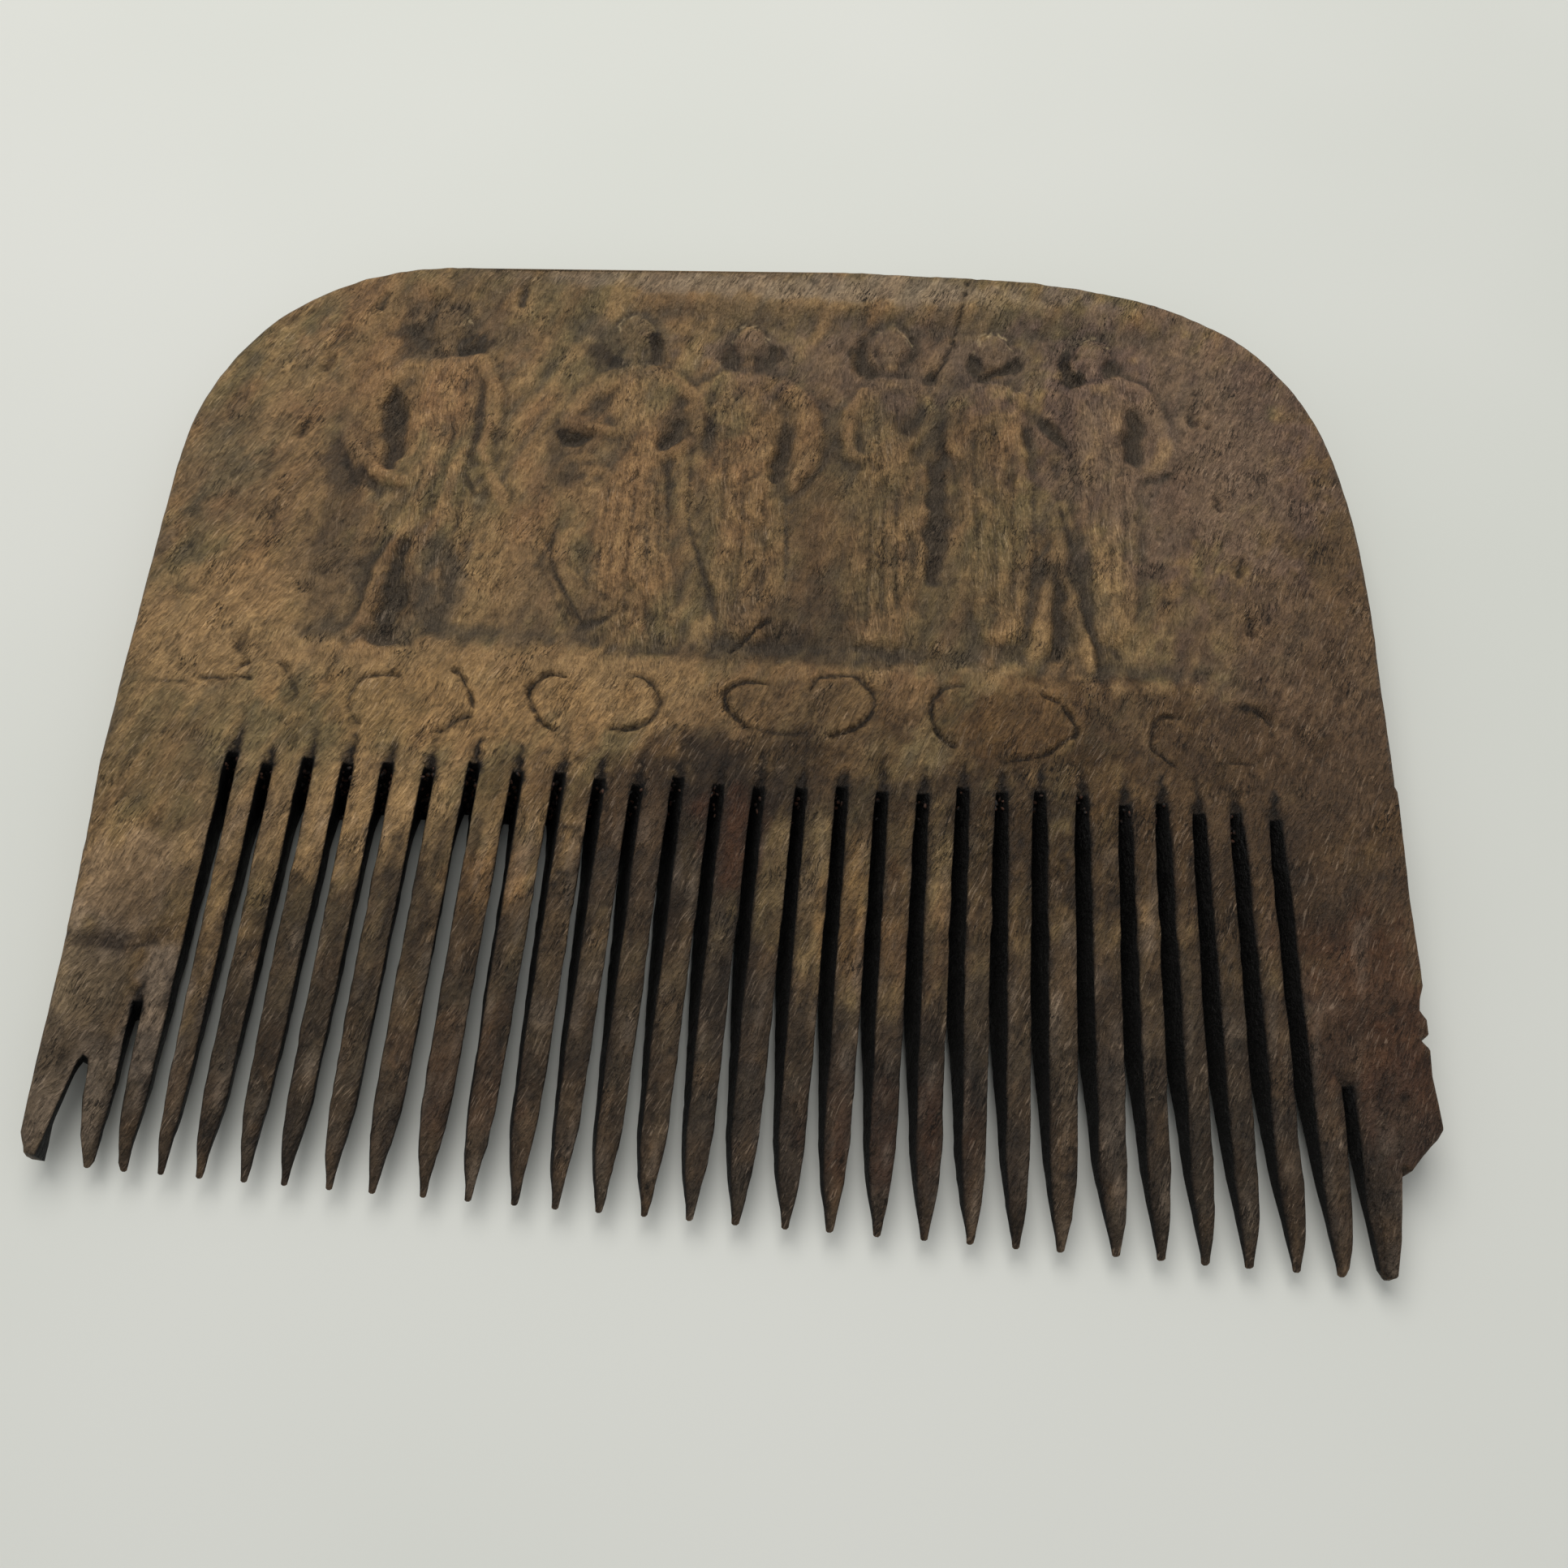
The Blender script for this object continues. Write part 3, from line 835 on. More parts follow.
TONES = dict(
    olive=(132, 110, 74), tan=(162, 130, 88), rust=(141, 105, 70), umber=(90, 69, 47), smoke=(83, 74, 60),
    grey=(66, 55, 43), brown=(64, 46, 24), dark=(41, 31, 22), moss=(106, 94, 63), black=(12, 10, 8),
    pale=(186, 164, 126), slot=(5, 4, 3), crumb=(74, 44, 26),
    mauve=(112, 90, 79), ash=(142, 126, 110), slate=(56, 51, 49), night=(24, 20, 15), honey=(160, 117, 66))

# Each row: x, y, half width, half height, tone, strength, and its turn in degrees where it is turned
PATCHES = [
    (43, -8, 14, 34, "umber", 0.5), (45, 0, 9, 44, "umber", 0.6), (8, 14, 16, 20, "umber", 0.32),
    (38, -8, 14, 12, "umber", 0.7), (-42, 18, 5, 7, "smoke", 0.45), (-42, 1, 6, 6, "tan", 0.45),
    (-39, 25, 4, 8, "tan", 0.35), (-30, 30, 9, 10, "rust", 0.40, 20), (-36, 12, 6, 10, "rust", 0.40),
    (-18, 10, 3.2, 9, "rust", 0.5), (-10, 12, 3.2, 9, "rust", 0.4), (-1, 16, 2.2, 6, "rust", 0.35),
    (19, 24, 4, 4, "rust", 0.15), (-20, -2.4, 17, 4.4, "tan", 0.75), (-8, -2.4, 7, 3, "tan", 0.6),
    (12.4, -2, 2.6, 3.4, "rust", 0.55), (-32, -4.5, 8, 3.6, "moss", 0.45), (4, -4, 10, 4, "umber", 0.45),
    (20, -4.4, 9, 5, "brown", 0.55), (35, -5, 8, 5, "brown", 0.35), (4, -8.6, 16, 3, "brown", 0.6),
    (-3, -12, 7, 3, "brown", 0.6), (26, -9, 14, 4, "brown", 0.55), (-27, 33, 5, 3.6, "smoke", 0.5),
    (-12, 32.4, 4.6, 3.6, "smoke", 0.55), (-2, 32, 4, 3, "smoke", 0.6),
    (9.6, 32.2, 4.6, 3.6, "smoke", 0.5), (18.6, 32, 4.4, 3.4, "smoke", 0.7),
    (26.6, 32, 4.4, 3.6, "smoke", 0.6), (8, 38.8, 22, 1.8, "pale", 0.25), (4, 39, 24, 1.7, "ash", 0.45),
    (18, 35.8, 10, 1.6, "smoke", 0.45), (-2, 36.2, 12, 1.2, "smoke", 0.35),
    (-33.5, 19, 2, 4.6, "grey", 0.6), (-28.4, 7, 3, 4.6, "grey", 0.7), (-33, 6, 3, 5, "smoke", 0.4, 20),
    (-24.2, 7.5, 1.6, 3.4, "grey", 0.55, 10), (-15.8, 22, 2, 3, "grey", 0.65),
    (-7.6, 22.6, 1.4, 2.4, "dark", 0.5, 20), (-4.6, 23, 1.6, 2.8, "grey", 0.5),
    (-17, 6, 3, 4, "smoke", 0.35), (-11.8, 4.4, 2.2, 2.2, "grey", 0.5),
    (-1.6, 5.4, 2.2, 2.6, "smoke", 0.4), (4.4, 4.2, 5.2, 3.4, "grey", 0.65),
    (4.2, 14, 2, 12, "umber", 0.5), (14, 15, 1.5, 6.6, "grey", 0.65), (11.4, 26, 2.6, 2.2, "grey", 0.45),
    (23.2, 24, 1.8, 3.4, "dark", 0.5), (24.2, 8, 1.6, 6, "grey", 0.6),
    (26.4, 6.6, 3, 2.4, "smoke", 0.4, 40), (30, 24, 2.2, 2.6, "umber", 0.5),
    (17.4, 22, 4, 6, "umber", 0.3), (4, 1.8, 12, 1.2, "grey", 0.45),
    (-36.5, -12.5, 6.5, 3.2, "smoke", 0.3, -50), (-5, -14, 8, 7, "dark", 0.8),
    (6, -16.5, 4.4, 6, "olive", 0.6), (-24, -14.5, 8, 4, "tan", 0.30), (44, -30, 6, 8, "dark", 0.4),
    (-43, -18, 4.5, 4.5, "tan", 0.9), (-43, -25.5, 4, 2.6, "moss", 0.4), (9.8, 9, 3, 8, "umber", 0.35),
    (30, -15, 12, 5, "umber", 0.3), (38, 19, 4, 8, "olive", 0.6), (-27, -13.5, 5, 4, "tan", 0.6),
    (-18, -20, 4, 5, "rust", 0.5), (-37, 4, 9, 7, "tan", 0.3), (-20, 8, 3, 7, "tan", 0.3),
    (-38, 2, 9, 6, "tan", 0.45), (-30, -13, 12, 5, "tan", 0.45), (33, 24, 13, 15, "mauve", 0.6),
    (12, 31, 20, 5, "mauve", 0.45), (40, 0, 9, 12, "mauve", 0.2), (-44, -28, 4, 9, "ash", 0.35),
    (-42.5, -19, 3.6, 5, "ash", 0.6), (-33.4, 13, 1.9, 12, "grey", 0.55, 4),
    (-28.4, 6, 2.6, 5.4, "night", 0.55), (-24.6, 7, 2, 4.6, "smoke", 0.6, 8),
    (-30.6, 24, 1.5, 2.6, "night", 0.6), (-32.6, 18, 1, 2.6, "night", 0.6, 35),
    (-30.2, 32.2, 1.6, 1.8, "dark", 0.75), (-25.3, 31.5, 1.5, 1.2, "night", 0.9, 30),
    (-23.6, 24, 0.35, 7, "dark", 0.7), (-23.3, 16.6, 0.35, 1.8, "night", 0.8, 25),
    (-22.3, 15.2, 0.7, 0.8, "pale", 0.5), (-27, 25.5, 2, 3.4, "rust", 0.6),
    (-26.6, 26.2, 0.9, 1.6, "tan", 0.5), (-14.6, 31, 1.5, 1.8, "dark", 0.7, 20),
    (-13.2, 30.2, 1.1, 0.7, "black", 0.9, 30), (-9.7, 32.2, 0.7, 1.5, "black", 0.85),
    (-15.8, 21.9, 1.3, 0.7, "black", 0.95, -25), (-15.8, 18.6, 1.6, 2, "grey", 0.7),
    (-7.7, 22, 0.8, 1.1, "black", 0.9, -20), (-4.6, 23.6, 0.5, 1.6, "night", 0.85, 15),
    (-11, 14, 2.4, 6.5, "rust", 0.55), (-11.6, 26, 1.6, 2.4, "tan", 0.5),
    (-2.6, 20, 2, 2.4, "rust", 0.45, 30), (-13, 5.4, 1.5, 1.5, "grey", 0.6),
    (-8, 4.8, 0.7, 0.7, "dark", 0.6), (0.6, 31.8, 0.8, 1.1, "black", 0.8),
    (-3.6, 31.4, 0.9, 1.4, "dark", 0.7), (-1.6, 30.6, 1.8, 0.8, "dark", 0.55),
    (7.4, 31.2, 0.8, 1.9, "black", 0.9, 15), (12.4, 32.4, 0.7, 1.6, "dark", 0.6),
    (10.4, 30.4, 2, 0.8, "dark", 0.4), (13.6, 29.8, 0.8, 1, "night", 0.8),
    (13, 26.3, 0.4, 1, "black", 0.9, -15), (12, 24.4, 1.2, 1.2, "dark", 0.6, 20),
    (14.4, 21, 0.6, 5.4, "night", 0.8), (14, 13, 1.3, 4.6, "grey", 0.7),
    (17.2, 31.6, 0.7, 1.2, "black", 0.8), (18.8, 30.6, 1.3, 0.8, "dark", 0.8),
    (20.7, 31.5, 0.9, 1.2, "black", 0.9, -30), (24.8, 32.2, 0.6, 1.6, "black", 0.85, -10),
    (25.3, 30.2, 1.2, 1, "black", 0.95, -20), (28.9, 31.4, 1, 1, "dark", 0.8),
    (23.4, 24.8, 0.6, 1.6, "black", 0.9, 35), (21.2, 23.6, 0.8, 1.3, "dark", 0.7),
    (29.8, 23.8, 1.2, 2, "dark", 0.7), (24.4, 14, 0.4, 4.5, "night", 0.75, 12),
    (25.6, 5, 0.4, 4, "night", 0.8, 8), (23, 9, 1.6, 4.6, "grey", 0.5),
    (27.6, 10, 1.2, 6, "tan", 0.5, 12), (18, 12, 2, 7, "moss", 0.4), (9.8, 10, 2.2, 7, "moss", 0.35),
    (2.4, 3.6, 3.4, 1.6, "dark", 0.6, 10), (0, 3.7, 2.1, 0.35, "black", 0.85, 45),
    (-12.1, 4.2, 1.5, 0.4, "black", 0.9, 18), (-14.7, 6.5, 0.3, 3.1, "night", 0.8, 25),
    (-12.7, 7, 0.28, 2.4, "night", 0.65, 54), (-4, 9, 0.25, 6.4, "night", 0.55, 17),
    (-1, -10.6, 4.2, 3.4, "dark", 0.65), (8, -10.4, 6, 2.6, "dark", 0.55),
    (19, -10.6, 7, 3.2, "dark", 0.55), (18.6, -14, 4.5, 4, "brown", 0.6), (27, -13, 5, 5, "brown", 0.5),
    (34, -12, 6, 4, "umber", 0.5), (3.4, -15.6, 2, 3.4, "olive", 0.75), (8, -18.5, 2.4, 5, "honey", 0.35),
    (11.4, -19.6, 1.9, 4.6, "brown", 0.25), (11.4, -19.6, 1.9, 4.6, "crumb", 0.15),
    (15, -19.6, 1.8, 3.6, "rust", 0.5), (18.2, -20.4, 1.6, 2.4, "tan", 0.55),
    (24, -26, 3.5, 3, "umber", 0.5), (36.4, -20, 2, 3, "tan", 0.15), (-8, -13.4, 3.2, 4, "umber", 0.6),
    (-15, -14, 5, 3.4, "tan", 0.2), (-43, -10, 5, 4, "umber", 0.35), (-42.4, -18.4, 3.4, 3.6, "tan", 0.5),
    (-21, 38.4, 8, 2.2, "smoke", 0.25), (-22, -4.4, 13, 3.6, "honey", 0.22), (3, -2, 9, 3, "honey", 0.1),
    (19, -4, 9, 4.2, "brown", 0.40), (4, -3, 7, 3, "brown", 0.08), (19, -3, 6, 3, "honey", 0.15),
    (35, -4.4, 7, 4.2, "brown", 0.35), (-0.6, -13.8, 2.6, 3.2, "brown", 0.3),
    (-0.6, -13.8, 2.6, 3.2, "crumb", 0.3), (1, -26, 4, 4.5, "dark", 0.9),
    (-15.5, -10.5, 4, 2.6, "brown", 0.45), (1, -8.5, 7, 3.4, "dark", 0.6),
    (12, -12.5, 4.5, 3.2, "brown", 0.6), (26.5, -4.5, 3, 2.2, "dark", 0.25),
    (29.4, -2.2, 4.4, 3.4, "umber", 0.75), (30.4, -1.6, 3.6, 2.6, "brown", 0.35),
    (11.4, -32, 5, 6, "dark", 0.85), (26, -32, 2.6, 4, "ash", 0.2), (-11, 12, 4, 8, "tan", 0.3),
    (20, -16.5, 4.5, 3.4, "brown", 0.5), (-39, -26.6, 2.4, 5.6, "tan", 0.9),
    (-26, 2.4, 10, 1.5, "smoke", 0.45), (9, -35, 12, 7, "dark", 0.5), (22, -12, 6, 3, "brown", 0.3),
    (7, -7, 5, 2.4, "brown", 0.3), (26, -32, 3, 4.5, "smoke", 0.5), (42, -21, 6, 9, "mauve", 0.25),
    (42, -18, 7, 22, "brown", 0.35), (42.5, -26, 6, 9, "crumb", 0.35), (-18, -18, 2.6, 3, "honey", 0.3),
    (8, 14, 24, 18, "brown", 0.10), (-12, 1, 26, 4, "brown", 0.12)]

# The same for the stains that lie over the dark of use
LATE_PATCHES = [
    (13.6, -30.4, 4, 5, "night", 0.55), (31.9, -31.2, 3.6, 5.2, "night", 0.45),
    (-38.6, -28, 2.2, 5.5, "ash", 0.55), (-43.3, -34.5, 2.6, 4.6, "ash", 0.3),
    (26, -30.5, 1.8, 4.6, "ash", 0.2), (1.3, -26, 3, 3.8, "night", 0.35), (-18, -31, 5, 5, "crumb", 0.35),
    (42.6, -24.6, 5, 7, "crumb", 0.4), (-0.6, -13.8, 2.8, 3.4, "crumb", 0.5),
    (11, -21, 3.2, 5, "crumb", 0.3), (10.6, -34, 6, 4, "crumb", 0.4), (19, -3.8, 5, 3.4, "crumb", 0.15),
    (28, -14, 7, 4, "brown", 0.3), (45, -30, 4, 5, "crumb", 0.3), (36, -20, 4, 7, "brown", 0.25)]

# How far down the teeth the dark of use reaches: x, y
DARK_LINE = [
    (-47, -28), (-41, -29), (-37, -29), (-34, -23.5), (-28, -18.6), (-22, -17.6), (-18.2, -19.6),
    (-14, -17.2), (-9, -14.6), (-4, -16), (1, -20.5), (6, -24.5), (11, -25.5), (16, -23.5), (20, -21),
    (27, -19), (34, -22), (47, -24)]


def tone(name):
    """A tone of the table as linear light."""
    c = np.array(TONES[name]) / 255
    return np.where(c < 0.04045, c / 12.92, ((c + 0.055) / 1.055) ** 2.4)


def tinted(colour, weight, name):
    """The colour with a tone blended over it by a weight from 0 to 1."""
    w = weight[..., None]
    return colour * (1 - w) + tone(name) * w


class Stain:
    """The colour of the face while it is being stained, as linear light."""

    def __init__(self, face):
        self.face, self.x, self.y = face, face.x, face.y
        self.colour = np.broadcast_to(tone("olive"), face.x.shape + (3,)).copy()
        self.hollow = np.clip((soften(face.z, 0.7) - face.z) / 0.26, 0, 1)

    def blend(self, weight, name):
        self.colour = tinted(self.colour, weight, name)

    def clouds(self, size, seed):
        return lumps(self.x, self.y, size, seed)

    def strokes(self, length, width, turn, seed):
        return grain(self.x, self.y, length, width, turn, seed)

    def ground(self):
        """Broad clouds all over, and clouds drawn out along the fibres of the plate."""
        self.blend(smooth(-0.1, 0.7, self.clouds(8.0, 71)) * 0.4, "moss")
        self.blend(smooth(0.0, 0.8, self.clouds(6.0, 72)) * 0.35, "rust")
        plate = smooth(-22, -10, self.y)
        broad, narrow = self.strokes(5.0, 1.7, 66, 91), self.strokes(2.4, 0.8, 70, 92)
        self.blend(0.60 * smooth(0.0, 0.7, broad) * plate, "moss")
        self.blend(0.50 * smooth(0.0, 0.7, -broad) * plate, "rust")
        self.blend(0.50 * smooth(0.1, 0.8, narrow) * plate, "tan")
        self.blend(0.55 * smooth(0.1, 0.8, -narrow) * plate, "smoke")

    def patches(self, table):
        """The rows of a table of patches, with ragged edges; small black ones have crisper edges."""
        ragged = 0.28 * self.clouds(2.2, 73) + 0.22 * self.clouds(0.9, 74)
        ragged = ragged + 0.16 * self.strokes(1.1, 0.35, 66, 90)
        for centre_x, centre_y, half_x, half_y, name, strength, *turn in table:
            a, x, y = math.radians(sum(turn)), self.x - centre_x, self.y - centre_y
            u = (x * math.cos(a) + y * math.sin(a)) / half_x
            v = (-x * math.sin(a) + y * math.cos(a)) / half_y
            crisp = 0.82 if name in ("black", "night") and half_x < 2.5 else 0.65
            self.blend(strength * smooth(1.8 - crisp, crisp, np.hypot(u, v) + ragged), name)

    def dark_of_use(self):
        """The lower teeth, darker and greyer below an uneven line."""
        x, y = self.x, self.y
        line = np.interp(x, *np.array(DARK_LINE).T) + 1.1 * self.clouds(2.6, 75)
        self.blend(0.70 * smooth(0.5, -0.7, y - line), "grey")
        low = smooth(-20, -37, y + 2 * self.clouds(3.0, 77)) * smooth(-50, -34, x)
        self.blend(0.50 * low, "slate")
        self.blend(0.45 * low * smooth(-0.3, 0.5, self.clouds(1.8, 89)), "dark")
        handled = smooth(-12, -20, y) * smooth(-48, -37, x)
        self.blend(0.45 * smooth(-0.1, 0.6, self.clouds(1.6, 76)) * handled, "umber")
        self.blend(0.45 * smooth(0.0, 0.6, self.clouds(2.3, 78)) * handled, "dark")
        tooth = lumps(x, y / 5, 2.4, 86) * smooth(-11, -15, y)
        self.blend(0.35 * smooth(0.1, 0.7, tooth), "dark")
        self.blend(0.25 * smooth(0.1, 0.7, -tooth), "umber")

    def streaks(self):
        """Streaks along the teeth, and fine specks all over."""
        teeth = smooth(-11, -14, self.y) * smooth(-41, -38, self.x) * smooth(GUARD_X + 1, GUARD_X, self.x)
        run = self.strokes(2.8, 0.6, 84, 95)
        self.blend(0.60 * smooth(0.15, 0.7, run) * teeth, "dark")
        self.blend(0.25 * smooth(0.3, 0.9, -run) * teeth, "ash")
        specks = smooth(0.45, 0.75, self.clouds(0.42, 96)) * smooth(-0.2, 0.5, self.clouds(2.4, 97))
        self.blend(0.75 * specks * mix(0.35, 1.0, teeth), "night")

    def slot_dirt(self):
        """Dark rims along the saw cuts and black dirt above their blind ends."""
        rim, dirt = np.zeros(self.x.shape), np.zeros(self.x.shape)
        for g in range(TEETH - 1):
            (ex, ey), (fx, fy) = cut(g)
            self.face.mark(rim, [(ex, ey - 0.2, 1.7), (ex, ey - 1.4, 2.1),
                                 (mix(ex, fx, 0.4), mix(ey, fy, 0.4), 2.1), (fx, fy, 2.8)], 1.0, 0.5)
            self.face.mark(dirt, [(ex, ey - 0.9, 1.45), (ex, ey + 0.5, 1.15),
                                  (ex + 0.1, ey + 1.5 + 0.6 * math.sin(g * 1.9), 0.3)], 1.1, 0.3)
        self.blend(smooth(0.25, 0.75, dirt + 0.5 * self.clouds(0.4, 93)), "night")
        uneven = (0.7 + 0.5 * self.clouds(1.2, 79)).clip(0, 1)
        self.blend(mix(0.35, 0.75, smooth(-20, 0, self.x)) * rim * uneven, "dark")
        for path in SCORED_BAND:
            line = np.zeros(self.x.shape)
            self.face.mark(line, np.array(path) * (1, 1, 2.4), 1.0, 0.4)
            self.blend(0.7 * line * (0.75 + 0.4 * self.clouds(0.8, 80)).clip(0, 1), "dark")

    def relief(self):
        """Dirt in what is cut deep, shadow under the figures, and worn pale and reddish crests."""
        z, panel = self.face.z, in_panel(self.x, self.y)
        self.blend(0.45 * smooth(0.1, 0.8, soften(self.hollow, 0.5)), "grey")
        self.blend(0.85 * self.hollow * (0.75 + 0.35 * self.clouds(0.6, 84)).clip(0, 1), "black")
        self.blend(0.45 * np.clip((soften(z, 0.4) - z) / 0.06, 0, 1), "dark")
        self.blend(0.25 * np.clip((z - soften(z, 0.5)) / 0.16, 0, 1) * smooth(-12, -4, self.y), "tan")
        deep = soften(z, 1.5) - z
        shadow = smooth(0.02, 0.24, deep) * panel
        crest = smooth(0.02, 0.22, -deep) * panel * (1 - self.hollow)
        crest = crest * (1 - 0.8 * smooth(30.2, 31.4, self.y))
        self.blend(0.50 * shadow * (0.8 + 0.4 * self.clouds(1.4, 87)).clip(0, 1), "smoke")
        self.blend(0.40 * smooth(0.14, 0.34, deep) * panel, "grey")
        reddish = (0.6 + 0.6 * self.clouds(2.6, 85)).clip(0, 1) * smooth(30, 8, self.x)
        self.blend(0.45 * crest * reddish, "rust")
        self.blend(0.45 * crest * smooth(-0.2, 0.6, self.clouds(1.3, 88)), "tan")
        self.blend(0.70 * self.face.scored, "night")
        self.blend(0.75 * self.face.hair, "pale")


def stain_face(face):
    """The colour of every spot of the grid."""
    stain = Stain(face)
    stain.ground()
    stain.patches(PATCHES)
    stain.dark_of_use()
    stain.patches(LATE_PATCHES)
    stain.streaks()
    stain.slot_dirt()
    stain.relief()
    return stain.colour


def cloth_area(face):
    """1 where the fibres of the bone run down a robe, half that in the rest of the panel, 0 elsewhere."""
    area = 0.5 * in_panel(face.x, face.y)
    for body in BODIES:
        face.mark(area, body_line(body), 1.05, 0.8)
    return soften(area, 0.4)


# The comb's skin: the carved face, walls of rows that round both arrises, and the plain underside

def spots(step, inside, seed):
    """Points about one step apart, slightly off a regular lattice, where inside says so."""
    xs = np.arange(-HALF_W, HALF_W, step)
    ys = np.arange(-HALF_H, HALF_H, step * 0.866)
    x, y = np.meshgrid(xs, ys)
    x = x + step / 2 * (np.arange(len(ys)) % 2)[:, None]
    scatter = np.random.default_rng(seed)
    x = (x + scatter.uniform(-0.15, 0.15, x.shape) * step).ravel()
    y = (y + scatter.uniform(-0.15, 0.15, y.shape) * step).ravel()
    keep = inside(x, y)
    return np.column_stack([x[keep], y[keep]])


def near_heads(x, y):
    """True on and closely round the heads."""
    return np.any([np.hypot((x - hx) / 2.2, (y - hy) / 2.8) < 1 for hx, hy, _ in HEADS], axis=0)


def in_panel(x, y):
    """True in the sunk panel and on its borders."""
    return (np.abs(x) < 35) & (y > -0.9) & (y < 38)


def tooth_spots():
    """Points on the tooth faces, in rows across each tooth, following its lean."""
    found = []
    for j in range(TEETH):
        x, y = tip_x(j), tip_y(j)
        g = min(max(j, 1), TEETH - 3)
        (ex, ey), (fx, fy) = cut(g)
        slope = (ex - fx) / (ey - fy)
        stop = ROOT_Y - 0.3 if 1 < j < TEETH - 2 else -22.0
        for k, yy in enumerate(np.arange(y + 0.5, stop, 0.42)):
            half = np.interp(yy - y, [0, 1.6, 5.5, 12], [0.10, 0.42, 0.70, 0.80])
            for u in (-0.62, -0.2, 0.2, 0.62) if k % 2 else (-0.8, -0.4, 0.0, 0.4, 0.8):
                found.append((x + slope * (yy - y) + u * half, yy))
    return np.array(found)


def clear_of(points, loop, gap):
    """The points that keep a gap from the outline and lie inside it."""
    tree = kdtree.KDTree(len(loop))
    for k, (x, y) in enumerate(loop):
        tree.insert((x, y, 0), k)
    tree.balance()
    keep = [p for p in points if tree.find((p[0], p[1], 0))[2] > gap]
    return np.array(keep)


def fill(loop, points):
    """Triangles that fill the outline through the points, counting the outline's own points first."""
    coords = [Vector(p) for p in loop] + [Vector(p) for p in points]
    faces, origin = geometry.delaunay_2d_cdt(coords, [], [list(range(len(loop)))], 1, 1e-5)[2:4]
    return np.array([[origin[i][0] for i in f] for f in faces])


# The turns of a rounded arris, from the face or the underside to the wall
ROUND = [0.0, math.radians(42), math.radians(90)]
LEVELS = [("top", a) for a in ROUND] + [("middle", ROUND[-1])] + [("under", a) for a in ROUND[::-1]]


def wall_rows(loop, normal, top, under):
    """Rings of points from the face's edge down to the underside's edge, with both arrises rounded."""
    arris, sawn, blind, pinch = loop[:, ARRIS:].T
    down = np.where(arris > SAWN_ARRIS, ARRIS_DOWN * arris / ARRIS_IN, arris * 1.1)
    down = np.minimum(down, (top - under) * 0.4)
    rings = []
    for level, turn in LEVELS:
        fall = down * (1 - math.cos(turn))
        z = {"top": top - fall, "middle": (top + under) / 2, "under": under + fall}[level]
        inset = arris * (1 - math.sin(turn))
        depth = np.maximum(face_top(loop[:, 0], loop[:, 1]) - z, 0)
        out = pinch * depth / PLATE_T - inset
        x = loop[:, 0] + normal[:, 0] * out - sawn * depth
        y = loop[:, 1] + normal[:, 1] * out - blind * END_SLOPE * depth / PLATE_T
        if turn == ROUND[-1]:
            rough = 0.035 * lumps(x * 2 + z, y, 0.8, 81) + 0.03 * lumps(x, y + z * 2, 1.9, 82)
            x, y = x + normal[:, 0] * rough, y + normal[:, 1] * rough
        rings.append(np.column_stack([x, y, z]))
    return rings


def face_points(face, edge):
    """Inner points of the carved face, closest together where it is most finely cut."""
    def near_rings(x, y):
        return field_at(face.engraved, x, y) > 0.5

    def plain(x, y):
        return (y > ROOT_Y + 0.6) & ~in_panel(x, y) & ~near_rings(x, y)

    found = np.vstack([
        spots(0.16, near_heads, 91),
        spots(0.30, lambda x, y: in_panel(x, y) & ~near_heads(x, y), 92),
        spots(0.24, lambda x, y: near_rings(x, y) & (y <= -0.9) & (y > ROOT_Y + 0.6), 93),
        spots(0.46, plain, 94),
        spots(0.50, lambda x, y: (y < ROOT_Y) & ((x < -38.6) | (x > 42.0)), 95),
        spots(0.42, lambda x, y: (np.abs(y - ROOT_Y) < 0.6), 96),
        tooth_spots()])
    return clear_of(found, edge, 0.2)


def wall_faces(count, ring):
    """Quads of one wall row, split into triangles."""
    i = np.arange(count)
    j = (i + 1) % count
    up, down = ring * count, (ring + 1) * count
    first = np.column_stack([up + i, down + i, down + j])
    second = np.column_stack([up + i, down + j, up + j])
    return np.vstack([first, second])


def zones_of(loop, rings, inner, total):
    """For each point: how far down the wall it is, whether in a saw cut, and how near a cut's blind end."""
    count, last = len(loop), rings - 1
    sawn = loop[:, SAWN] > 0
    wall, slot, blind = np.zeros(total), np.zeros(total), np.zeros(total)
    wall[count:count * rings] = np.repeat(np.arange(1, rings), count) / last
    wall[count * rings + inner:] = 1
    slot[:count * rings] = np.tile(sawn & (loop[:, ARRIS] > TIP_ARRIS), rings)
    ends = [cut(g)[0] for g in range(1, TEETH - 2)]
    reach = np.min([np.hypot(loop[:, 0] - x, loop[:, 1] - y) for x, y in ends], axis=0)
    for k in range(2, rings - 2):
        blind[count * k:count * (k + 1)] = smooth(3.0, 0.5, reach) * sawn
    return dict(wall=wall, slot=slot, blind=blind)


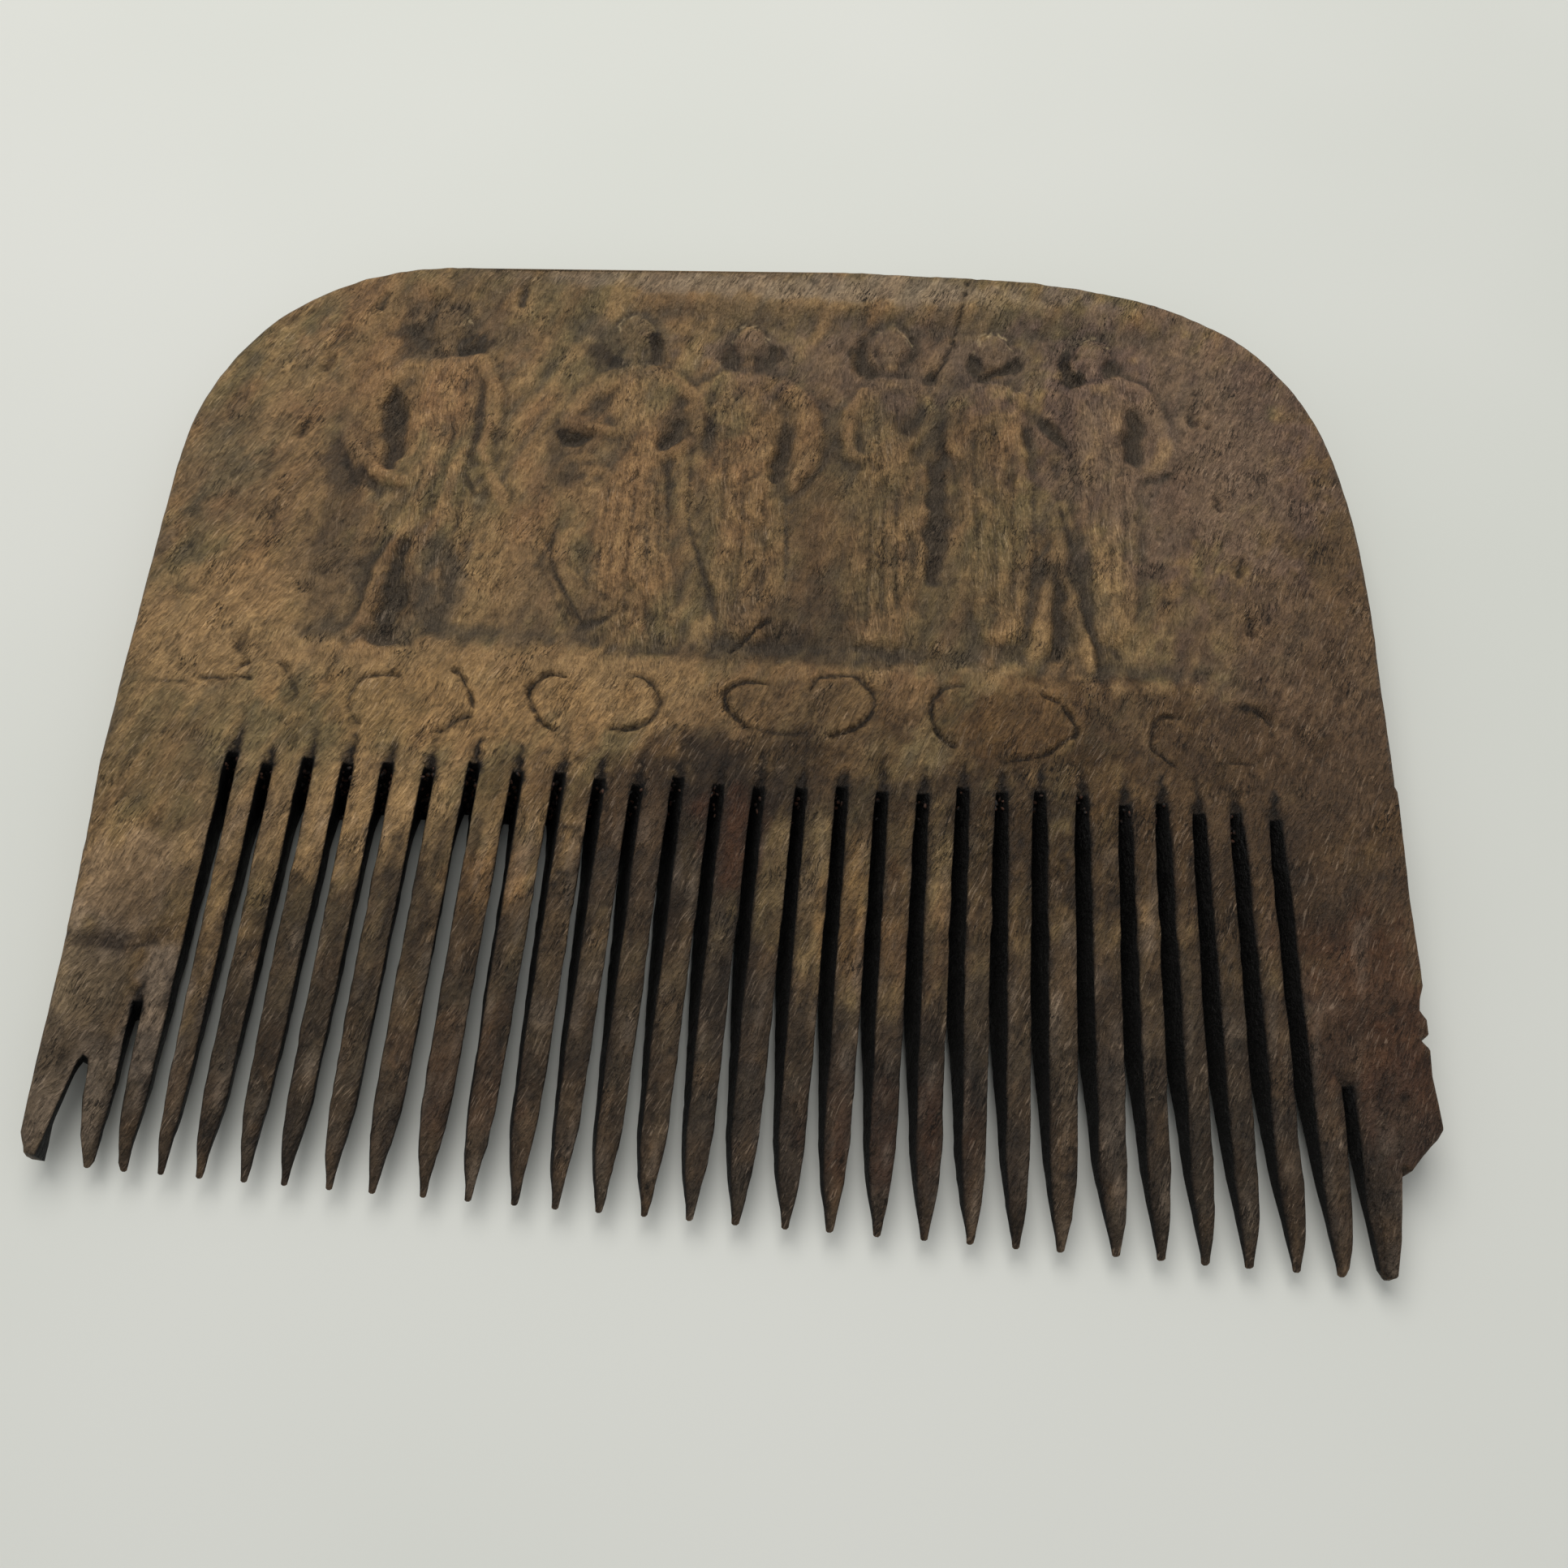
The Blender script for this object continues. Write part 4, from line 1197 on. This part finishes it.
def make_comb(face):
    """Points, triangles and zones of the whole comb: rings of the wall, then face, then underside."""
    loop = outline()
    normal = outward(loop)
    count = len(loop)

    def on_face(x, y):
        return face_top(x, y) + field_at(face.z, x, y)

    edge = loop[:, :2] - normal * loop[:, ARRIS:ARRIS + 1]
    rings = wall_rows(loop, normal, on_face(*edge.T), face_under(loop[:, 0], loop[:, 1]))
    inner = face_points(face, rings[0][:, :2])
    below = clear_of(spots(1.3, lambda x, y: y > -HALF_H, 97), rings[-1][:, :2], 0.5)
    points = np.vstack(rings + [np.column_stack([inner, on_face(*inner.T)]),
                                np.column_stack([below, face_under(*below.T)])])

    to_last = count * (len(rings) - 1)
    top_faces = fill(rings[0][:, :2], inner)
    top_faces = np.where(top_faces < count, top_faces, top_faces + to_last)
    under_faces = fill(rings[-1][:, :2], below) + to_last
    under_faces = np.where(under_faces < to_last + count, under_faces, under_faces + len(inner))[:, ::-1]
    walls = [wall_faces(count, k) for k in range(len(rings) - 1)]
    faces = np.vstack([top_faces] + walls + [under_faces])

    used = np.unique(faces)
    place = np.full(len(points), -1)
    place[used] = np.arange(len(used))
    zones = zones_of(loop, len(rings), len(inner), len(points))
    return points[used], place[faces], {name: values[used] for name, values in zones.items()}


def new_piece(name, points, faces):
    """A smooth mesh object from points in millimetres."""
    mesh = bpy.data.meshes.new(name)
    mesh.from_pydata(points * MM, [], faces.tolist())
    mesh.validate()
    piece = bpy.data.objects.new(name, mesh)
    bpy.context.collection.objects.link(piece)
    mesh.shade_smooth()
    return piece


def paint(piece, name, values):
    """Keeps a number or a colour at each point of a piece, for its material to read."""
    kind, key = ("FLOAT_COLOR", "color") if values.ndim == 2 else ("FLOAT", "value")
    if values.ndim == 2:
        values = np.column_stack([values, np.ones(len(values))])
    layer = piece.data.attributes.new(name, kind, "POINT")
    layer.data.foreach_set(key, values.astype(np.float32).ravel())


# Materials

class Value:
    """A number that varies over a surface; arithmetic on it adds Math nodes."""

    def __init__(self, finish, socket):
        self.finish, self.socket = finish, socket

    def math(self, operation, first, second):
        return self.finish.node("ShaderNodeMath", dict(operation=operation), {0: first, 1: second})

    def __add__(self, other):
        return self.math("ADD", self, other)

    def __radd__(self, other):
        return self.math("ADD", other, self)

    def __sub__(self, other):
        return self.math("SUBTRACT", self, other)

    def __rsub__(self, other):
        return self.math("SUBTRACT", other, self)

    def __mul__(self, other):
        return self.math("MULTIPLY", self, other)

    def __rmul__(self, other):
        return self.math("MULTIPLY", other, self)

    def __abs__(self):
        return self.finish.node("ShaderNodeMath", dict(operation="ABSOLUTE"), {0: self})

    def between(self, low, high):
        """0 below low, 1 above high and smooth between."""
        return self.finish.node("ShaderNodeMapRange", dict(interpolation_type="SMOOTHSTEP"),
                                {"Value": self, "From Min": low, "From Max": high})


class Nodes:
    """A tree of nodes while it is being made; an input is a plain value or another node's output."""

    def made(self, kind, settings, inputs):
        node = self.tree.nodes.new(kind)
        for key, value in settings.items():
            setattr(node, key, value)
        for key, value in inputs.items():
            self.feed(node.inputs[key], value)
        return node

    def feed(self, socket, value):
        value = getattr(value, "socket", value)
        if isinstance(value, bpy.types.NodeSocket):
            self.tree.links.new(value, socket)
        else:
            socket.default_value = value


class Finish(Nodes):
    """A material while its nodes are being made."""

    def __init__(self, name):
        self.material = bpy.data.materials.new(name)
        self.material.use_nodes = True
        self.tree = self.material.node_tree
        self.shader = self.tree.nodes["Principled BSDF"]
        self.place = self.node("ShaderNodeTexCoord", {}, {}, "Object")

    def node(self, kind, settings, inputs, out=0):
        return Value(self, self.made(kind, settings, inputs).outputs[out])

    def vector(self, operation, inputs):
        return self.node("ShaderNodeVectorMath", dict(operation=operation), inputs)

    def noise(self, scale, detail=2.0, place=None, roughness=0.55):
        return self.node("ShaderNodeTexNoise", {}, {"Vector": place or self.place, "Scale": scale,
                                                    "Detail": detail, "Roughness": roughness})

    def drawn(self, turn, along, across, depth, place):
        """A place squeezed so that noise on it is drawn out along one direction."""
        back = (0, 0, -math.radians(turn))
        turned = self.node("ShaderNodeMapping", {}, {"Vector": place, "Rotation": back})
        return self.vector("MULTIPLY", {0: turned, 1: (along, across, depth)})

    def kept(self, name, out="Fac"):
        """A number or colour kept at the points of the piece."""
        return self.node("ShaderNodeAttribute", dict(attribute_name=name), {}, out)

    def blend(self, amount, first, second):
        return self.node("ShaderNodeMix", dict(data_type="RGBA"), {0: amount, 6: first, 7: second}, 2)

    def scaled(self, colour, amount):
        return self.vector("SCALE", {0: colour, "Scale": amount})

    def bump(self, height, distance):
        return self.node("ShaderNodeBump", {}, {"Height": height, "Distance": distance, "Strength": 1.0})

    def set(self, **sockets):
        for key, value in sockets.items():
            self.feed(self.shader.inputs[key.replace("_", " ")], value)


def rgba(name):
    return (*tone(name), 1)


# The middle of a noise's colour
MIDDLE = (0.5, 0.5, 0.5)

# How far fibres stray and how deep their relief is, in metres, and how much steeper they are on the robes
FIBRE_DRIFT = (0.0009, 0.0009, 0.0)
BUMP_DEPTH = 0.00016
ROBE_TURN = 27


def bone_finish():
    """Stained, matt bone: the stain that the points keep, under fibres, hairs, splits and pores."""
    f = Finish("bone")
    cloth = f.kept("cloth")

    swirl = f.node("ShaderNodeTexNoise", {}, {"Vector": f.place, "Scale": 260.0, "Detail": 1.0}, "Color")
    drift = f.vector("SUBTRACT", {0: swirl, 1: MIDDLE})
    wavy = f.vector("MULTIPLY_ADD", {0: drift, 1: FIBRE_DRIFT, 2: f.place})

    def fibre(turn, along, across, low, high, detail=2.0):
        """Short strokes that run slantwise over the plate and down the robes."""
        drawn = [f.drawn(a, along, across, across / 2, wavy) for a in (turn, turn + ROBE_TURN)]
        slanted, upright = (f.noise(1.0, detail, place).between(low, high) for place in drawn)
        return slanted + cloth * (upright - slanted)

    bundles = fibre(FIBRE_TURN, 520, 1900, 0.32, 0.68, 3.0)
    strands = fibre(FIBRE_TURN, 1500, 5200, 0.34, 0.66)
    light = fibre(FIBRE_TURN - 6, 1100, 6000, 0.57, 0.63)
    hairs = fibre(FIBRE_TURN + 4, 620, 7400, 0.60, 0.65)
    darker = fibre(FIBRE_TURN + 8, 1000, 4600, 0.60, 0.65)
    splits = abs(f.noise(1.0, 3.0, f.drawn(FIBRE_TURN + 6, 420, 2900, 900, wavy)) - 0.5).between(0.020, 0.0)
    cloud = f.noise(260, 4.0).between(0.32, 0.68)
    patch = f.noise(620, 4.0).between(0.36, 0.64)
    mottle = f.noise(1700, 4.0, roughness=0.7).between(0.3, 0.7)
    pores = f.noise(1.0, 2.0, f.drawn(FIBRE_TURN + 3, 1700, 4000, 2600, wavy)).between(0.64, 0.72)
    open_grain = f.noise(330, 3.0).between(0.50, 0.66)

    stain = f.kept("stain", "Color")
    lit = f.node("ShaderNodeRGBToBW", {}, {"Color": stain}).between(0.006, 0.03)
    shade = 0.385 + 0.16 * bundles + 0.42 * strands + 0.20 * cloud + 0.24 * patch + 0.24 * mottle
    colour = f.scaled(stain, shade)
    pale = f.blend(0.25, f.scaled(colour, 1.8), rgba("ash"))
    colour = f.blend(lit * light * (0.25 + 0.75 * patch * open_grain), colour, pale)
    pale = f.blend(0.4, f.scaled(colour, 1.9), rgba("ash"))
    colour = f.blend(lit * hairs * cloud, colour, pale)
    colour = f.blend(darker * (0.4 + 0.5 * open_grain), colour, f.scaled(colour, 0.4))
    colour = f.blend(0.8 * splits * open_grain, colour, rgba("night"))
    colour = f.blend(pores * (0.2 + 0.7 * open_grain), colour, rgba("night"))
    height = (0.2 * bundles + 0.4 * strands + 0.5 * mottle + 0.4 * patch + 0.5 * light - 0.5 * darker
              - 0.6 * pores * open_grain - 0.8 * splits * open_grain)
    f.set(Base_Color=colour, Roughness=0.5 + 0.2 * cloud + 0.1 * mottle, Specular_IOR_Level=0.25,
          Normal=f.bump(height, BUMP_DEPTH))
    return f.material


def crumb_finish():
    """Black and reddish grit."""
    f = Finish("slot crumbs")
    grit = f.noise(2500, 2.0)
    colour = f.blend(grit.between(0.4, 0.65), rgba("black"), rgba("crumb"))
    f.set(Base_Color=colour, Roughness=0.6 + 0.3 * grit)
    return f.material


# Crumbs of old dirt in the blind ends of the saw cuts

# How many for each square metre, their size in metres, how far they are dented, the seed of their places,
# and the most that each is turned
CRUMBS, CRUMB_SIZE, CRUMB_DENT, CRUMB_SEED = 3.2e6, 0.00026, 0.0003, 5
FULL_TURN = 6.28


class Tree(Nodes):
    """A Geometry Nodes tree while it is being made."""

    def __init__(self, name, inputs):
        self.tree = bpy.data.node_groups.new(name, "GeometryNodeTree")
        sockets = self.tree.interface
        sockets.new_socket("Geometry", in_out="OUTPUT", socket_type="NodeSocketGeometry")
        sockets.new_socket("Geometry", in_out="INPUT", socket_type="NodeSocketGeometry")
        self.keys = {key: sockets.new_socket(key, in_out="INPUT", socket_type=kind).identifier
                     for key, kind in inputs.items()}
        self.inputs = self.tree.nodes.new("NodeGroupInput").outputs

    def node(self, kind, settings, inputs, out=0):
        return self.made(kind, settings, inputs).outputs[out]

    def finish(self, geometry):
        self.tree.links.new(geometry, self.tree.nodes.new("NodeGroupOutput").inputs[0])


def crumb_tree(finish):
    """Dented lumps of all sizes and turns, scattered where the piece keeps a number named crumbs."""
    t = Tree("crumbs", {"Per square metre": "NodeSocketFloat", "Size": "NodeSocketFloat",
                        "Seed": "NodeSocketInt"})
    where = t.node("GeometryNodeInputNamedAttribute", dict(data_type="FLOAT"), {"Name": "crumbs"})
    density = t.node("ShaderNodeMath", dict(operation="MULTIPLY"),
                     {0: where, 1: t.inputs["Per square metre"]})
    points = t.node("GeometryNodeDistributePointsOnFaces", {},
                    {"Mesh": t.inputs["Geometry"], "Density": density, "Seed": t.inputs["Seed"]})
    lump = t.node("GeometryNodeMeshIcoSphere", {}, {"Radius": t.inputs["Size"], "Subdivisions": 2})
    grit = t.node("ShaderNodeTexNoise", {}, {"Scale": 2600.0}, 1)
    spread = t.node("ShaderNodeVectorMath", dict(operation="SUBTRACT"), {0: grit, 1: MIDDLE})
    push = t.node("ShaderNodeVectorMath", dict(operation="SCALE"), {0: spread, "Scale": CRUMB_DENT})
    lump = t.node("GeometryNodeSetPosition", {}, {"Geometry": lump, "Offset": push})
    turn = t.node("FunctionNodeRandomValue", dict(data_type="FLOAT_VECTOR"),
                  {0: (0, 0, 0), 1: (FULL_TURN,) * 3, "Seed": 3})
    grow = t.node("FunctionNodeRandomValue", dict(data_type="FLOAT_VECTOR"),
                  {0: (0.3, 0.3, 0.3), 1: (1.0, 1.0, 0.8), "Seed": 4})
    lumps_on = t.node("GeometryNodeInstanceOnPoints", {},
                      {"Points": points, "Instance": lump, "Rotation": turn, "Scale": grow})
    real = t.node("GeometryNodeRealizeInstances", {}, {"Geometry": lumps_on})
    t.finish(t.node("GeometryNodeSetMaterial", {}, {"Geometry": real, "Material": finish}))
    return t


def scatter_crumbs(comb, finish):
    """The crumbs as a piece of their own, made on a throwaway copy of the comb."""
    t = crumb_tree(finish)
    carrier = bpy.data.objects.new("carrier", comb.data)
    bpy.context.collection.objects.link(carrier)
    modifier = carrier.modifiers.new("crumbs", "NODES")
    modifier.node_group = t.tree
    modifier[t.keys["Per square metre"]] = CRUMBS
    modifier[t.keys["Size"]] = CRUMB_SIZE
    modifier[t.keys["Seed"]] = CRUMB_SEED
    graph = bpy.context.evaluated_depsgraph_get()
    mesh = bpy.data.meshes.new_from_object(carrier.evaluated_get(graph))
    bpy.data.objects.remove(carrier)
    crumbs = bpy.data.objects.new("slot_crumbs", mesh)
    bpy.context.collection.objects.link(crumbs)
    mesh.shade_smooth()
    return crumbs


# The table, the light and the camera

CAMERA_AT = Vector((4.76, -59.33, 101.21)) * MM
CAMERA_AIM = Vector((2.97, -9.52, 5.6)) * MM
CAMERA_ROLL = math.radians(0.56)
CAMERA_LENS, SENSOR_W, CAMERA_NEAR = 34.66, 36, 0.005

# The window is a round lamp; the room's own light comes evenly from all sides
WINDOW_AT, WINDOW_SIZE, WINDOW_POWER = Vector((-0.08, 0.30, 0.50)), 0.5, 2.0
WINDOW_COLOUR = (1.0, 0.965, 0.92)
ROOM_COLOUR, ROOM_LIGHT = (0.97, 0.97, 0.96, 1), 0.47
TABLE_HALF = 0.9
TABLE_TONES = (0.715, 0.745, 0.70, 1), (0.765, 0.785, 0.75, 1)


def add_table():
    f = Finish("table")
    smudge = f.noise(9, 3.0)
    f.set(Base_Color=f.blend(smudge.between(0.3, 0.7), *TABLE_TONES), Roughness=0.45 + 0.2 * smudge)
    corners = np.array([(-1, -1, 0), (1, -1, 0), (1, 1, 0), (-1, 1, 0)])
    table = new_piece("table", corners * TABLE_HALF / MM, np.array([(0, 1, 2), (0, 2, 3)]))
    table.data.materials.append(f.material)


def add_window():
    light = bpy.data.lights.new("window", "AREA")
    light.shape, light.size = "DISK", WINDOW_SIZE
    light.energy, light.color = WINDOW_POWER, WINDOW_COLOUR
    lamp = bpy.data.objects.new("window", light)
    lamp.location = WINDOW_AT
    lamp.rotation_euler = (-WINDOW_AT).to_track_quat("-Z", "Y").to_euler()
    bpy.context.collection.objects.link(lamp)


def add_camera():
    data = bpy.data.cameras.new("camera")
    data.lens, data.sensor_width, data.clip_start = CAMERA_LENS, SENSOR_W, CAMERA_NEAR
    camera = bpy.data.objects.new("camera", data)
    turn = (CAMERA_AIM - CAMERA_AT).to_track_quat("-Z", "Y").to_matrix()
    turn = turn @ Matrix.Rotation(CAMERA_ROLL, 3, "Z")
    camera.matrix_world = Matrix.Translation(CAMERA_AT) @ turn.to_4x4()
    bpy.context.collection.objects.link(camera)
    bpy.context.scene.camera = camera


def add_room():
    add_table()
    add_window()
    world = bpy.data.worlds.new("room")
    world.use_nodes = True
    background = world.node_tree.nodes["Background"]
    background.inputs["Color"].default_value = ROOM_COLOUR
    background.inputs["Strength"].default_value = ROOM_LIGHT
    bpy.context.scene.world = world
    bpy.context.scene.view_settings.view_transform = "Standard"
    add_camera()


# Making the comb

SIDE_BROWN = 0.45


def dress(comb, face, points, zones):
    """Keeps the stain, the share of cloth and the places of the crumbs at the comb's points."""
    x, y = points[:, 0], points[:, 1]
    wall, slot = zones["wall"], zones["slot"]
    colour = stain_face(face)
    skin = np.column_stack([field_at(colour[..., k], x, y) for k in range(3)])
    skin = tinted(skin, slot * smooth(0.05, 0.3, wall) * smooth(1.0, 0.7, wall), "slot")
    skin = tinted(skin, SIDE_BROWN * (1 - slot) * (wall > 0), "umber")
    depth = np.clip((face_top(x, y) - points[:, 2]) / PLATE_T, 0, 1)
    inside = smooth(0.1, 0.2, depth) * smooth(0.95, 0.85, depth)
    paint(comb, "stain", skin)
    paint(comb, "cloth", field_at(cloth_area(face), x, y) * (wall == 0))
    paint(comb, "crumbs", smooth(0.55, 0.95, zones["blind"]) * inside)
    comb.data.materials.append(bone_finish())


face = carve_face()
points, faces, zones = make_comb(face)
comb = new_piece("comb_bone", points, faces)
dress(comb, face, points, zones)
crumbs = scatter_crumbs(comb, crumb_finish())
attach(comb, "root")
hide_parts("comb")
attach(crumbs, "root")
add_room()
